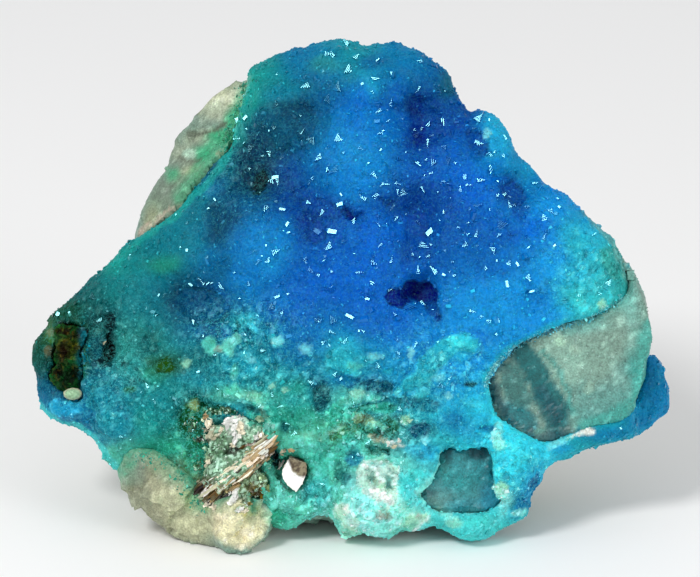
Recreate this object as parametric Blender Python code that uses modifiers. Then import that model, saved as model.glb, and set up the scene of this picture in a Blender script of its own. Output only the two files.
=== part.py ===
"""Turquoise specimen: a druse of turquoise on a fragment of vein quartz, with mica and limonite.

The fragment is modelled in its face frame, which is easiest to measure it in: X to the right and Y up
across the crust's face, Z out of it. The face leans back, so the finished pieces are turned about X and
stood on the flat break under the quartz. Lengths in the tables below are in millimetres.
"""

import math
import random

import bmesh
import bpy
import numpy as np
from mathutils import Matrix, Vector, noise
from mathutils.bvhtree import BVHTree

MM = 0.001
SEED = 11

# Driving dimensions, mm
FACE_LEAN_DEG = 20.0  # the face leans back this far from upright
FACE_ORIGIN = (-0.05, -6.57, 0.2)  # where the face frame's origin stands; the part's own is under its middle
CRUST_THICKNESS = 1.3
GAP = 0.2  # clearance between neighbouring solids
RIM_WIDTH = 1.1  # the crust rolls over this close to its outer edge
RIM_DROP = 0.85
CRUST_VOXEL = 0.21
MATRIX_VOXEL = 0.24
CRUST_TRIANGLES = 3400
MATRIX_TRIANGLES = 1400
SEAT_TRIANGLES = 900
SEAT_TOP = 6.0  # clear of the crust's highest point
LIMONITE_TRIANGLES = 300
FLOOR_REACH = 30.0  # half the width of the block that cuts the break flat
FLOOR_DEPTH = 10.0

# The crust's edge in the face frame, clockwise from the left tip
UPPER_LEFT_EDGE = [
    (-12.9, 7.7), (-12.8, 8.35), (-12.3, 8.8), (-12.1, 9.4), (-11.0, 10.35), (-10.6, 10.7), (-10.5, 11.0),
    (-10.0, 11.2), (-9.5, 11.75), (-9.1, 12.25), (-8.0, 12.9), (-7.4, 13.25), (-6.8, 13.75), (-6.3, 14.5),
    (-5.9, 14.9), (-5.5, 15.5), (-4.7, 16.2), (-4.6, 17.0), (-4.3, 18.0), (-4.1, 18.8), (-4.05, 19.45),
]
CREST = [
    (-3.0, 19.95), (-2.1, 20.3), (-1.8, 20.2), (-1.3, 20.45), (-0.3, 20.6), (0.3, 20.4), (0.7, 20.2),
    (1.1, 20.45), (1.4, 20.35), (1.8, 20.5), (2.5, 20.15), (2.95, 20.0), (3.2, 19.65), (3.6, 19.5),
    (3.95, 19.2), (4.1, 18.7), (4.4, 18.1), (4.75, 17.5),
]
RIGHT_EDGE = [
    (5.2, 17.75), (5.6, 17.6), (6.0, 17.3), (6.3, 16.85), (6.55, 16.1), (6.75, 15.75), (7.2, 15.5),
    (7.7, 14.9), (8.05, 14.5), (8.5, 14.45), (8.9, 14.1), (9.4, 13.5), (10.0, 12.95), (10.5, 12.6),
    (10.75, 12.1), (10.9, 11.5), (11.2, 10.9), (11.25, 10.4),
]
BLOCK_INLET = [
    (10.7, 9.9), (10.1, 9.6), (9.4, 9.4), (8.4, 9.15), (7.8, 8.85), (7.2, 8.6), (6.6, 8.3), (6.3, 7.9),
    (5.65, 7.15), (5.45, 6.75), (5.55, 6.3), (5.65, 5.8), (5.75, 5.4), (6.2, 5.1), (7.3, 4.5), (7.7, 4.25),
    (8.3, 4.4), (9.0, 4.75), (9.9, 5.0), (10.9, 5.2), (11.6, 5.9), (11.95, 6.9), (12.0, 7.9),
]
LOWER_RIGHT_EDGE = [
    (12.45, 7.7), (12.7, 7.3), (12.68, 7.0), (12.9, 6.5), (13.0, 5.9), (12.9, 5.55), (12.5, 5.3), (12.1, 4.9),
    (11.6, 4.6), (10.0, 4.25), (9.1, 4.0), (8.85, 3.7), (8.3, 3.65), (7.75, 3.25), (7.7, 2.9), (7.4, 2.55),
    (7.2, 2.2), (7.2, 1.5), (6.0, 0.85), (5.5, 0.5), (4.9, 0.4), (4.4, 0.55), (3.5, 1.1), (2.9, 0.95),
    (2.4, 0.95), (1.4, 0.6), (0.65, 0.8), (-0.2, 0.65), (-0.5, 0.9), (-0.75, 1.55), (-1.8, 1.35),
    (-2.4, 0.85), (-3.1, 0.95),
]
FOOT_INLET = [(-3.3, 1.9), (-5.9, 2.2), (-6.5, 3.1), (-7.3, 3.7), (-8.1, 4.1), (-8.9, 4.15), (-9.0, 3.2)]
LOWER_LEFT_EDGE = [
    (-9.4, 3.2), (-9.8, 3.55), (-10.1, 4.15), (-10.5, 4.7), (-11.0, 5.0), (-11.6, 5.1), (-12.1, 5.35),
    (-12.5, 5.7), (-12.5, 6.2), (-12.7, 6.45), (-12.6, 6.8), (-12.7, 7.3),
]
CRUST_OUTLINE = (
    UPPER_LEFT_EDGE + CREST + RIGHT_EDGE + BLOCK_INLET + LOWER_RIGHT_EDGE + FOOT_INLET + LOWER_LEFT_EDGE
)
# The edges that roll over
FREE_EDGES = [UPPER_LEFT_EDGE + CREST + RIGHT_EDGE, LOWER_RIGHT_EDGE, LOWER_LEFT_EDGE]

# A hole in the crust, where bare quartz shows
QUARTZ_WINDOW = [
    (3.4, 3.9), (3.7, 4.2), (4.15, 4.25), (4.35, 4.05), (4.75, 4.2), (5.2, 4.3), (5.65, 4.2), (5.85, 3.7),
    (5.75, 3.1), (5.95, 2.5), (6.2, 1.95), (5.9, 1.6), (5.2, 1.45), (4.3, 1.45), (3.5, 1.5), (3.1, 1.75),
    (2.8, 2.05), (2.6, 2.5), (2.95, 2.6), (3.2, 2.9), (3.45, 3.25), (3.55, 3.55),
]

# Rounded lumps of the druse and the hollows between them: x, y, radius, height
HUMMOCKS = [
    (0.8, 15.7, 2.5, 0.85), (-3.7, 12.3, 2.3, 0.8), (1.0, 18.7, 1.3, 0.65), (5.9, 16.4, 1.3, 0.9),
    (4.0, 15.0, 1.7, 0.45), (-0.3, 12.4, 2.5, 0.65), (5.6, 12.6, 2.4, 0.65), (8.9, 11.8, 2.2, 0.75),
    (5.2, 9.7, 2.0, 0.6), (1.4, 8.3, 2.0, 0.5), (-2.1, 9.6, 2.1, 0.5), (-6.2, 12.6, 1.7, 0.45),
    (-8.9, 10.4, 1.6, 0.5), (-6.3, 8.6, 1.8, 0.5), (3.8, 6.4, 2.1, 0.65), (-8.8, 5.8, 1.8, 0.5),
    (6.4, 3.4, 1.5, 0.65), (0.9, 2.2, 1.7, 0.8), (7.7, 13.6, 1.2, 0.55), (3.0, 19.3, 1.2, 0.5),
    (-0.8, 19.4, 1.7, 0.5), (-3.0, 18.3, 1.6, 0.4), (-4.8, 7.3, 1.6, 0.4), (-1.1, 5.6, 1.5, 0.35),
    (4.6, 1.2, 1.3, 0.45), (-11.0, 5.9, 1.1, 0.35), (-8.0, 7.4, 1.2, 0.35), (8.8, 9.9, 1.3, 0.4),
]
HOLLOWS = [
    (2.8, 10.4, 0.9, 0.95), (2.6, 17.2, 1.2, 0.5), (2.5, 13.4, 1.3, 0.45), (-2.1, 13.9, 1.4, 0.35),
    (-3.4, 15.3, 1.8, 0.4), (-6.0, 9.9, 1.1, 0.35), (-9.7, 8.1, 0.6, 0.6), (7.0, 14.6, 0.9, 0.3),
    (-0.6, 3.9, 0.8, 0.4), (1.3, 5.9, 0.9, 0.3), (4.7, 5.5, 0.5, 0.35), (-1.3, 7.2, 0.9, 0.25),
]
# Broken steps across the crust: a line's two ends, and how far its left side stands above its right
STEPS = [((-3.2, 4.6), (1.4, 6.5), 0.35), ((11.3, 10.2), (11.6, 3.0), -1.3)]
STEP_WIDTH = 0.35
ROUGHNESS = [(1.4, 0.16), (0.55, 0.09)]  # grain size and height of the crust's finer lumps

# Quartz grains, each the hull of its corners: x, y, z in the face frame
GRAINS = {
    "core": [
        (-7.5, 4.2, -1.4), (-8.8, 11.9, -2.0), (-4.2, 17.6, -2.4), (-2.6, 19.2, -2.3), (0.4, 20.0, -2.3),
        (3.4, 19.0, -2.1), (7.4, 14.5, -1.9), (9.2, 12.8, -1.9), (9.6, 8.0, -1.6), (6.8, 1.9, -1.5),
        (4.9, 1.0, -1.7), (0.0, 1.6, -1.6), (-5.4, 1.8, -1.4), (5.8, 1.05, -3.7), (0.5, 1.3, -4.0),
        (-4.8, 1.6, -4.6), (-8.9, 11.2, -5.6), (-5.0, 16.8, -6.0), (-0.4, 19.0, -6.4), (3.2, 18.0, -5.4),
        (9.2, 11.6, -5.2), (9.3, 6.8, -5.0), (6.4, 1.7, -5.6), (-5.8, 1.5, -5.2), (-8.1, 5.6, -5.8),
        (-6.4, 9.6, -9.4), (-2.6, 13.8, -9.2), (2.6, 13.2, -8.6), (6.2, 8.4, -8.2), (4.6, 2.2, -8.6),
        (-4.4, 2.4, -9.2),
    ],
    "left_end": [
        (-12.1, 6.4, -1.9), (-12.3, 8.2, -2.2), (-10.5, 10.4, -2.4), (-7.0, 12.8, -2.0), (-7.4, 4.2, -1.6),
        (-11.2, 5.6, -1.6), (-11.7, 6.6, -3.2), (-11.5, 8.4, -4.0), (-9.8, 10.4, -4.8), (-10.3, 5.7, -3.2),
        (-7.6, 4.6, -5.6), (-7.6, 11.6, -6.2),
    ],
    "right_block": [
        (5.2, 6.7, -0.75), (6.2, 8.3, -0.8), (8.4, 9.6, -0.9), (11.1, 11.2, -1.15), (11.75, 9.9, -1.1),
        (12.1, 8.2, -1.15), (12.12, 7.0, -1.2), (11.5, 5.5, -1.1), (9.4, 4.5, -0.9), (7.7, 4.0, -0.8),
        (5.6, 5.2, -0.75), (10.5, 12.5, -1.9), (9.6, 13.2, -2.6), (11.3, 11.3, -3.6), (11.9, 8.4, -3.9),
        (12.0, 6.7, -3.6), (11.2, 5.2, -3.2), (8.9, 4.2, -3.4), (9.4, 12.6, -4.4), (8.2, 8.4, -6.0),
    ],
    "smoky_foot": [
        (-9.1, 4.25, -1.15), (-8.0, 4.3, -0.75), (-6.2, 3.3, -0.5), (-5.4, 2.4, -0.6), (-9.0, 3.0, -1.3),
        (-8.8, 2.25, -1.45), (-8.5, 1.65, -1.5), (-7.95, 1.25, -1.4), (-7.4, 0.95, -1.3), (-6.1, 0.45, -1.1),
        (-5.1, 0.1, -1.0), (-7.3, 2.6, -0.45), (-5.7, 1.3, -0.8), (-8.4, 4.4, -4.4), (-8.3, 2.3, -4.6),
        (-6.0, 1.4, -5.0), (-4.6, 4.0, -3.0),
    ],
    "pale_tip": [
        (-5.8, 2.25, -0.25), (-4.6, 2.15, 0.2), (-3.3, 1.95, -0.1), (-3.05, 1.55, -0.2),
        (-3.25, 0.95, -0.35), (-3.45, 0.45, -0.4), (-4.0, 0.05, -0.4), (-4.65, -0.15, -0.35),
        (-4.95, 0.0, -0.25), (-5.45, 0.85, -0.1), (-4.35, 0.9, 0.3), (-5.4, 2.6, -2.6),
        (-3.4, 2.2, -2.8), (-3.6, 0.5, -2.6), (-5.2, 0.6, -2.6),
    ],
    "window_grain": [
        (3.0, 4.5, -0.8), (6.1, 4.5, -0.85), (6.5, 1.4, -0.75), (3.0, 1.3, -0.7), (2.3, 2.4, -0.7),
        (3.4, 4.0, -2.6), (5.8, 4.0, -2.6), (5.8, 1.9, -2.6), (3.4, 1.9, -2.6),
    ],
    "upper_ledge": [
        (-4.1, 19.35, -3.5), (-4.7, 19.0, -3.8), (-5.6, 18.5, -4.2), (-6.15, 17.75, -4.3),
        (-6.45, 17.0, -4.3), (-6.35, 16.75, -4.0), (-4.9, 16.6, -2.9), (-3.2, 18.9, -2.8),
        (-2.4, 18.8, -5.4), (-4.4, 16.6, -6.6), (-5.8, 16.6, -5.8),
    ],
    "middle_ledge": [
        (-6.4, 16.95, -4.4), (-7.1, 16.5, -4.5), (-7.3, 15.8, -4.4), (-7.2, 15.1, -4.0), (-5.2, 15.4, -2.5),
        (-4.7, 16.8, -2.7), (-5.6, 16.8, -6.4), (-6.8, 15.3, -6.2), (-4.2, 14.8, -5.4),
    ],
    "lower_ledge": [
        (-7.4, 15.3, -4.0), (-7.85, 14.3, -3.9), (-8.15, 13.3, -3.6), (-8.65, 12.5, -3.1),
        (-7.6, 12.4, -1.9), (-5.5, 15.0, -2.2), (-6.1, 16.0, -3.2), (-7.2, 15.4, -5.6),
        (-8.3, 12.6, -5.4), (-5.8, 13.6, -6.2),
    ],
}
FRACTURE_RELIEF = [(3.2, 0.35), (1.1, 0.12)]  # size and height of the unevenness of the broken quartz

# Turquoise crystals large enough to stand out of the druse
COARSE_CRYSTALS = 60
CRYSTAL_SIZE = (0.35, 0.6)
CRYSTAL_SINK = 0.4  # share of a crystal's height that is sunk in the druse

# The room cut for one piece in another
ROOM_VOXEL = 0.15
ROOM_TRIANGLES = 240

# Mica plates: centre, direction of their length, direction that they face, length, width, thickness
PLATE_SIDES = 6
MICA_STACK = [
    ((-4.85, 3.25, -0.35), (-0.81, -0.57, -0.1), (0.5, -0.72, 0.48), 3.3, 1.3, 0.22),
    ((-4.75, 3.05, -0.2), (-0.81, -0.58, 0.0), (0.5, -0.7, 0.52), 3.3, 1.1, 0.22),
    ((-4.95, 3.45, -0.4), (-0.83, -0.55, -0.05), (0.47, -0.74, 0.46), 2.5, 1.3, 0.24),
    ((-4.55, 2.95, -0.1), (-0.79, -0.6, 0.06), (0.52, -0.66, 0.54), 2.7, 0.8, 0.2),
    ((-5.35, 2.75, -0.3), (-0.88, -0.46, 0.0), (0.4, -0.78, 0.48), 1.5, 1.2, 0.26),
    ((-4.2, 3.8, -0.25), (-0.78, -0.62, 0.05), (0.56, -0.68, 0.46), 1.8, 0.9, 0.2),
]
MICA_LOOSE = [
    ((-4.6, 4.75, -0.35), (-0.5, -0.86, 0.1), (0.3, -0.1, 0.95), 1.7, 1.1, 0.45),
    ((-5.25, 4.5, -0.45), (0.4, -0.9, 0.1), (-0.35, -0.05, 0.93), 1.4, 0.9, 0.5),
    ((-3.95, 4.75, -0.5), (-0.9, -0.3, 0.2), (0.2, 0.25, 0.95), 1.3, 0.9, 0.45),
    ((-5.25, 3.75, -0.5), (-0.6, -0.8, 0.1), (0.2, -0.3, 0.93), 1.4, 1.1, 0.5),
    ((-4.2, 2.5, -0.3), (-0.3, -0.95, 0.1), (0.45, -0.2, 0.87), 1.2, 0.6, 0.45),
    ((-3.8, 2.75, -0.5), (-0.8, 0.6, 0.1), (0.1, -0.1, 0.99), 1.3, 1.0, 0.5),
]
MICA_FLAKE = [
    (-2.72, 3.3), (-2.42, 3.78), (-1.75, 3.56), (-1.72, 3.2), (-1.9, 2.72), (-2.18, 2.42), (-2.5, 2.66),
    (-2.7, 3.0),
]
MICA_FLAKE_HEIGHTS = (-0.9, 0.35)
MICA_FLAKE_TILT_DEG = 12.0

LIMONITE_OUTLINE = [
    (-11.9, 8.6), (-11.5, 9.05), (-10.7, 8.85), (-10.65, 8.4), (-11.0, 8.0), (-10.75, 7.4), (-10.8, 6.8),
    (-11.25, 6.5), (-11.7, 6.6), (-12.05, 7.05), (-11.75, 7.7),
]
LIMONITE_HEIGHTS = (-2.5, -1.2)
LIMONITE_RELIEF = [(0.6, 0.3), (0.25, 0.16)]
QUARTZ_GRAIN_AT = (-11.15, 6.3, -1.2)
QUARTZ_GRAIN_SIZE = (0.8, 0.52, 0.7)


# ---------------------------------------------------------------- scene and mesh helpers


def clear_scene():
    for obj in list(bpy.data.objects):
        bpy.data.objects.remove(obj)


def new_collection(name):
    collection = bpy.data.collections.new(name)
    bpy.context.scene.collection.children.link(collection)
    return collection


def add_object(name, mesh, collection):
    obj = bpy.data.objects.new(name, mesh)
    collection.objects.link(obj)
    return obj


def evaluated_mesh(obj):
    """The object's mesh with its modifiers applied."""
    graph = bpy.context.evaluated_depsgraph_get()
    return bpy.data.meshes.new_from_object(obj.evaluated_get(graph))


def apply_modifiers(obj):
    mesh = evaluated_mesh(obj)
    obj.modifiers.clear()
    obj.data = mesh


def remesh(obj, voxel):
    modifier = obj.modifiers.new("Remesh", "REMESH")
    modifier.mode = "VOXEL"
    modifier.voxel_size = voxel * MM
    apply_modifiers(obj)


def decimate(obj, triangles):
    obj.data.calc_loop_triangles()
    modifier = obj.modifiers.new("Decimate", "DECIMATE")
    modifier.ratio = min(1.0, triangles / len(obj.data.loop_triangles))
    apply_modifiers(obj)


def boolean(obj, other, operation, self_crossing=False, solver="EXACT"):
    modifier = obj.modifiers.new(operation.title(), "BOOLEAN")
    modifier.solver = solver
    modifier.operation = operation
    modifier.object = other
    modifier.use_self = self_crossing
    apply_modifiers(obj)


def keep_largest_island(obj):
    """Drops the crumbs that a cut leaves beside the main body."""
    bm = bmesh.new()
    bm.from_mesh(obj.data)
    left = set(bm.verts)
    islands = []
    while left:
        island, todo = set(), [left.pop()]
        while todo:
            vert = todo.pop()
            island.add(vert)
            for edge in vert.link_edges:
                other = edge.other_vert(vert)
                if other in left:
                    left.remove(other)
                    todo.append(other)
        islands.append(island)
    islands.sort(key=len)
    crumbs = [vert for island in islands[:-1] for vert in island]
    bmesh.ops.delete(bm, geom=crumbs, context="VERTS")
    bm.to_mesh(obj.data)
    bm.free()


def read_points(mesh):
    points = np.empty(len(mesh.vertices) * 3)
    mesh.vertices.foreach_get("co", points)
    return points.reshape(-1, 3)


def write_points(mesh, points):
    mesh.vertices.foreach_set("co", points.ravel())
    mesh.update()


def outline_prism(name, loops, low, high, collection):
    """A straight-sided solid between two heights over closed outlines, the first outside, the rest holes."""
    curve = bpy.data.curves.new(name, "CURVE")
    curve.dimensions = "2D"
    curve.fill_mode = "BOTH"
    curve.extrude = (high - low) / 2 * MM
    for loop in loops:
        spline = curve.splines.new("POLY")
        spline.points.add(len(loop) - 1)
        for point, (x, y) in zip(spline.points, loop):
            point.co = (x * MM, y * MM, 0, 1)
        spline.use_cyclic_u = True
    guide = add_object(name + "_outline", curve, collection)
    guide.location.z = (low + high) / 2 * MM
    bpy.context.view_layer.update()
    mesh = evaluated_mesh(guide)
    mesh.transform(guide.matrix_world)
    bpy.data.objects.remove(guide)
    bm = bmesh.new()
    bm.from_mesh(mesh)
    bmesh.ops.remove_doubles(bm, verts=bm.verts, dist=0.001 * MM)
    bmesh.ops.recalc_face_normals(bm, faces=bm.faces)
    bm.to_mesh(mesh)
    bm.free()
    return add_object(name, mesh, collection)


def hull(name, corners, collection):
    """The convex solid over the corners, mm."""
    bm = bmesh.new()
    for corner in corners:
        bm.verts.new(Vector(corner) * MM)
    made = bmesh.ops.convex_hull(bm, input=bm.verts)
    bmesh.ops.delete(bm, geom=made["geom_interior"], context="VERTS")
    mesh = bpy.data.meshes.new(name)
    bm.to_mesh(mesh)
    bm.free()
    return add_object(name, mesh, collection)


def joined(objects, name, collection):
    """One object that holds every given object's mesh, not yet fused."""
    bm = bmesh.new()
    for obj in objects:
        bm.from_mesh(obj.data)
        bpy.data.objects.remove(obj)
    mesh = bpy.data.meshes.new(name)
    bm.to_mesh(mesh)
    bm.free()
    return add_object(name, mesh, collection)


# ---------------------------------------------------------------- the face's form


def smooth_step(t):
    t = np.clip(t, 0.0, 1.0)
    return t * t * (3 - 2 * t)


def edge_distance(x, y, lines):
    """How far each point is from the nearest of these polylines."""
    nearest = np.full(x.shape, np.inf)
    for line in lines:
        for (ax, ay), (bx, by) in zip(line, line[1:]):
            dx, dy = bx - ax, by - ay
            along = np.clip(((x - ax) * dx + (y - ay) * dy) / (dx * dx + dy * dy), 0, 1)
            nearest = np.minimum(nearest, np.hypot(x - ax - along * dx, y - ay - along * dy))
    return nearest


def face_form(x, y):
    """Height of the rock's face: a low dome whose upper left flank and lower right corner fall away."""
    dome = -1.6 * ((x - 1.0) / 13) ** 2 - 1.0 * ((y - 8.0) / 12) ** 2
    flank = np.clip((0.72 * (y - 8.0) - 0.69 * (x + 9.0)) / 6.0, 0, 1.4)
    return dome - 1.5 * flank**1.5


def caps(x, y, lumps):
    """Rounded caps, each fading to nothing at its radius, where the higher of two that cross wins."""
    height = np.zeros(x.shape)
    for cx, cy, radius, top in lumps:
        reach = np.clip(1 - ((x - cx) ** 2 + (y - cy) ** 2) / radius**2, 0, 1)
        height = np.maximum(height, top * reach**0.8)
    return height


def step_heights(x, y):
    height = np.zeros(x.shape)
    for (ax, ay), (bx, by), rise in STEPS:
        length = math.hypot(bx - ax, by - ay)
        left = ((bx - ax) * (y - ay) - (by - ay) * (x - ax)) / length
        along = ((bx - ax) * (x - ax) + (by - ay) * (y - ay)) / length**2
        ends = smooth_step(along * 4) * smooth_step((1 - along) * 4)
        height += rise * ends * smooth_step(0.5 + left / STEP_WIDTH) * smooth_step(1.6 - np.abs(left) / 2.5)
    return height


def roughness(points, levels):
    """Uneven relief at each level's grain size, from a fixed noise."""
    total = np.zeros(len(points))
    for size, height in levels:
        total += height * np.array([noise.noise(Vector(p) / size) for p in points])
    return total


def crust_front(x, y):
    flat = np.stack([x, y, np.zeros(x.shape)], axis=1)
    edge = np.clip(1 - edge_distance(x, y, FREE_EDGES) / RIM_WIDTH, 0, 1)
    roll = RIM_DROP * (1 - np.sqrt(1 - edge**2))
    lumps = caps(x, y, HUMMOCKS) - caps(x, y, HOLLOWS)
    return face_form(x, y) + lumps + step_heights(x, y) + roughness(flat, ROUGHNESS) - roll


def crust_back(x, y):
    return face_form(x, y) + np.minimum(step_heights(x, y), 0) - CRUST_THICKNESS


def drape(obj, low, high, back, front):
    """Bends a flat slab between two heights so that its two faces follow the back and the front surfaces."""
    points = read_points(obj.data) / MM
    x, y = points[:, 0], points[:, 1]
    share = (points[:, 2] - low) / (high - low)
    points[:, 2] = back(x, y) * (1 - share) + front(x, y) * share
    write_points(obj.data, points * MM)


# ---------------------------------------------------------------- the pieces


def make_crust(collection):
    crust = outline_prism("turquoise_crust", [CRUST_OUTLINE, QUARTZ_WINDOW], -1, 1, collection)
    remesh(crust, CRUST_VOXEL)
    drape(crust, -1, 1, crust_back, crust_front)
    decimate(crust, CRUST_TRIANGLES)
    grow_crystals(crust, collection)
    return crust


def crystal_block(rng, size):
    """A stubby crystal with a slanting end face, standing on the origin, size in mm."""
    bm = bmesh.new()
    bmesh.ops.create_cube(bm, size=1.0)
    tall = rng.uniform(0.7, 1.0)
    slant = rng.uniform(0.25, 0.5)
    for vert in bm.verts:
        taper = 0.7 if vert.co.z > 0 else 1.0
        lift = slant * vert.co.x if vert.co.z > 0 else 0.0
        vert.co = Vector((vert.co.x * taper, vert.co.y * taper * 0.7, (vert.co.z + 0.5 + lift) * tall))
    bmesh.ops.scale(bm, vec=(size * MM,) * 3, verts=bm.verts)
    return bm


def grow_crystals(crust, collection):
    """Fuses stubby crystals into the crust's front, each on a random spot and tilted a little."""
    rng = random.Random(SEED)
    tree = BVHTree.FromObject(crust, bpy.context.evaluated_depsgraph_get())
    low, high = read_points(crust.data).min(0), read_points(crust.data).max(0)
    crystals = []
    while len(crystals) < COARSE_CRYSTALS:
        start = Vector((rng.uniform(low[0], high[0]), rng.uniform(low[1], high[1]), high[2] + MM))
        foot, normal, _, _ = tree.ray_cast(start, Vector((0, 0, -1)))
        if foot is None or normal.z < 0.5:
            continue
        size = rng.uniform(*CRYSTAL_SIZE)
        tilt = Vector([rng.uniform(-0.5, 0.5) for _ in range(3)])
        turn = (normal + tilt).to_track_quat("Z", "Y").to_matrix().to_4x4()
        spin = Matrix.Rotation(rng.uniform(0, math.tau), 4, "Z")
        sunk = Matrix.Translation((0, 0, -CRYSTAL_SINK * size * MM))
        bm = crystal_block(rng, size)
        bm.transform(Matrix.Translation(foot) @ turn @ spin @ sunk)
        mesh = bpy.data.meshes.new("crystal")
        bm.to_mesh(mesh)
        bm.free()
        crystals.append(add_object("crystal", mesh, collection))
    grown = joined(crystals, "crystals", collection)
    boolean(crust, grown, "UNION", self_crossing=True)
    bpy.data.objects.remove(grown)


def make_matrix(collection):
    grains = [hull(name, corners, collection) for name, corners in GRAINS.items()]
    matrix = joined(grains, "quartz_matrix", collection)
    remesh(matrix, MATRIX_VOXEL)
    roughen(matrix, FRACTURE_RELIEF)
    decimate(matrix, MATRIX_TRIANGLES)
    seat = crust_seat(collection)
    boolean(matrix, seat, "DIFFERENCE")
    bpy.data.objects.remove(seat)
    return matrix


def crust_seat(collection):
    """The room that the crust takes out of the quartz: its outline and its back, with the gap."""
    seat = outline_prism("crust_seat", [CRUST_OUTLINE, QUARTZ_WINDOW], -1, 1, collection)
    remesh(seat, CRUST_VOXEL)
    swell(seat, GAP)
    points = read_points(seat.data)
    points[:, 2] = np.clip(points[:, 2], -MM, MM)
    write_points(seat.data, points)
    drape(seat, -1, 1, lambda x, y: crust_back(x, y) - GAP, lambda x, y: np.full(x.shape, SEAT_TOP))
    decimate(seat, SEAT_TRIANGLES)
    return seat


def mica_plate(rng, centre, along, facing, length, width, thickness, collection):
    """A plate with uneven corners, long in one direction and facing another."""
    facing = Vector(facing).normalized()
    along = Vector(along)
    along = (along - along.dot(facing) * facing).normalized()
    across = facing.cross(along)
    corners = []
    for side in range(PLATE_SIDES):
        angle = math.tau * side / PLATE_SIDES + rng.uniform(-0.15, 0.15)
        reach = 0.5 * rng.uniform(0.85, 1.0)
        flat = along * (math.cos(angle) * reach * length) + across * (math.sin(angle) * reach * width * 1.1)
        corners += [Vector(centre) + flat + facing * (height * thickness) for height in (-0.5, 0.5)]
    return hull("plate", corners, collection)


def make_mica_book(collection):
    rng = random.Random(SEED)
    plates = [mica_plate(rng, *plate, collection) for plate in MICA_STACK + MICA_LOOSE]
    book = plates[0]
    rest = joined(plates[1:], "plates", collection)
    boolean(book, rest, "UNION", self_crossing=True)
    bpy.data.objects.remove(rest)
    book.name = "mica_book"
    return book


def make_mica_flake(collection):
    flake = outline_prism("mica_flake", [MICA_FLAKE], *MICA_FLAKE_HEIGHTS, collection)
    middle = Vector((*np.mean(MICA_FLAKE, axis=0), 0)) * MM
    tilt = Matrix.Rotation(math.radians(MICA_FLAKE_TILT_DEG), 4, "Y")
    flake.data.transform(Matrix.Translation(middle) @ tilt @ Matrix.Translation(-middle))
    return flake


def make_limonite(collection):
    patch = outline_prism("limonite_patch", [LIMONITE_OUTLINE], *LIMONITE_HEIGHTS, collection)
    remesh(patch, CRUST_VOXEL)
    roughen(patch, LIMONITE_RELIEF)
    decimate(patch, LIMONITE_TRIANGLES)
    return patch


def make_quartz_grain(collection):
    bm = bmesh.new()
    bmesh.ops.create_icosphere(bm, subdivisions=2, radius=0.5)
    bmesh.ops.scale(bm, vec=Vector(QUARTZ_GRAIN_SIZE) * MM, verts=bm.verts)
    bmesh.ops.translate(bm, vec=Vector(QUARTZ_GRAIN_AT) * MM, verts=bm.verts)
    mesh = bpy.data.meshes.new("quartz_grain")
    bm.to_mesh(mesh)
    bm.free()
    return add_object("quartz_grain", mesh, collection)


def swell(obj, amount):
    points = read_points(obj.data)
    normals = np.array([vert.normal for vert in obj.data.vertices])
    write_points(obj.data, points + normals * amount * MM)


def roughen(obj, levels):
    """Moves each point along its normal by an uneven relief."""
    points = read_points(obj.data) / MM
    normals = np.array([vert.normal for vert in obj.data.vertices])
    points += normals * roughness(points, levels)[:, None]
    write_points(obj.data, points * MM)


def clear_room(hosts, guest, collection):
    """Cuts the guest's form and the gap out of each host."""
    room = add_object("room", guest.data.copy(), collection)
    remesh(room, ROOM_VOXEL)
    swell(room, GAP)
    decimate(room, ROOM_TRIANGLES)
    for host in hosts:
        boolean(host, room, "DIFFERENCE", solver="MANIFOLD")
    bpy.data.objects.remove(room)


def stand(obj):
    """Leans the face back and sets the piece over the part's origin."""
    lean = Matrix.Rotation(math.radians(90 - FACE_LEAN_DEG), 4, "X")
    obj.data.transform(Matrix.Translation(Vector(FACE_ORIGIN) * MM) @ lean)


def cut_at_floor(obj, collection):
    sides = (-FLOOR_REACH, FLOOR_REACH)
    corners = [(x, y, z) for x in sides for y in sides for z in (-FLOOR_DEPTH, 0)]
    floor = hull("floor", corners, collection)
    boolean(obj, floor, "DIFFERENCE", solver="MANIFOLD")
    bpy.data.objects.remove(floor)


def stone_material(name, colour, roughness_value, metallic=0.0):
    material = bpy.data.materials.new(name)
    material.use_nodes = True
    shader = material.node_tree.nodes["Principled BSDF"]
    shader.inputs["Base Color"].default_value = (*colour, 1)
    shader.inputs["Roughness"].default_value = roughness_value
    shader.inputs["Metallic"].default_value = metallic
    material.diffuse_color = (*colour, 1)
    return material


def main():
    clear_scene()
    specimen = new_collection("turquoise_specimen")
    crust = make_crust(specimen)
    matrix = make_matrix(specimen)
    book = make_mica_book(specimen)
    flake = make_mica_flake(specimen)
    limonite = make_limonite(specimen)
    grain = make_quartz_grain(specimen)
    for guest in (book, flake, limonite, grain):
        clear_room((crust, matrix), guest, specimen)
    looks = {
        crust: stone_material("turquoise", (0.02, 0.24, 0.58), 0.35),
        matrix: stone_material("quartz", (0.42, 0.46, 0.38), 0.4),
        book: stone_material("mica", (0.62, 0.52, 0.36), 0.25, 0.3),
        flake: stone_material("silver_mica", (0.85, 0.83, 0.78), 0.2, 0.3),
        limonite: stone_material("limonite", (0.07, 0.035, 0.01), 0.8),
        grain: stone_material("pale_quartz", (0.55, 0.62, 0.5), 0.4),
    }
    for obj, material in looks.items():
        stand(obj)
        cut_at_floor(obj, specimen)
        keep_largest_island(obj)
        obj.data.materials.clear()
        obj.data.materials.append(material)


main()
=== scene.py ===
"""Looks of the turquoise specimen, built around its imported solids.

Most places below are in the specimen's face frame, in millimetres: X to the right and Y up across the crust's
face, Z out of it. to_world() turns them into the frame's metres.
"""

import math
from itertools import product

import bmesh
import bpy
import numpy as np
from mathutils import Matrix, Vector
from mathutils.bvhtree import BVHTree


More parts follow.
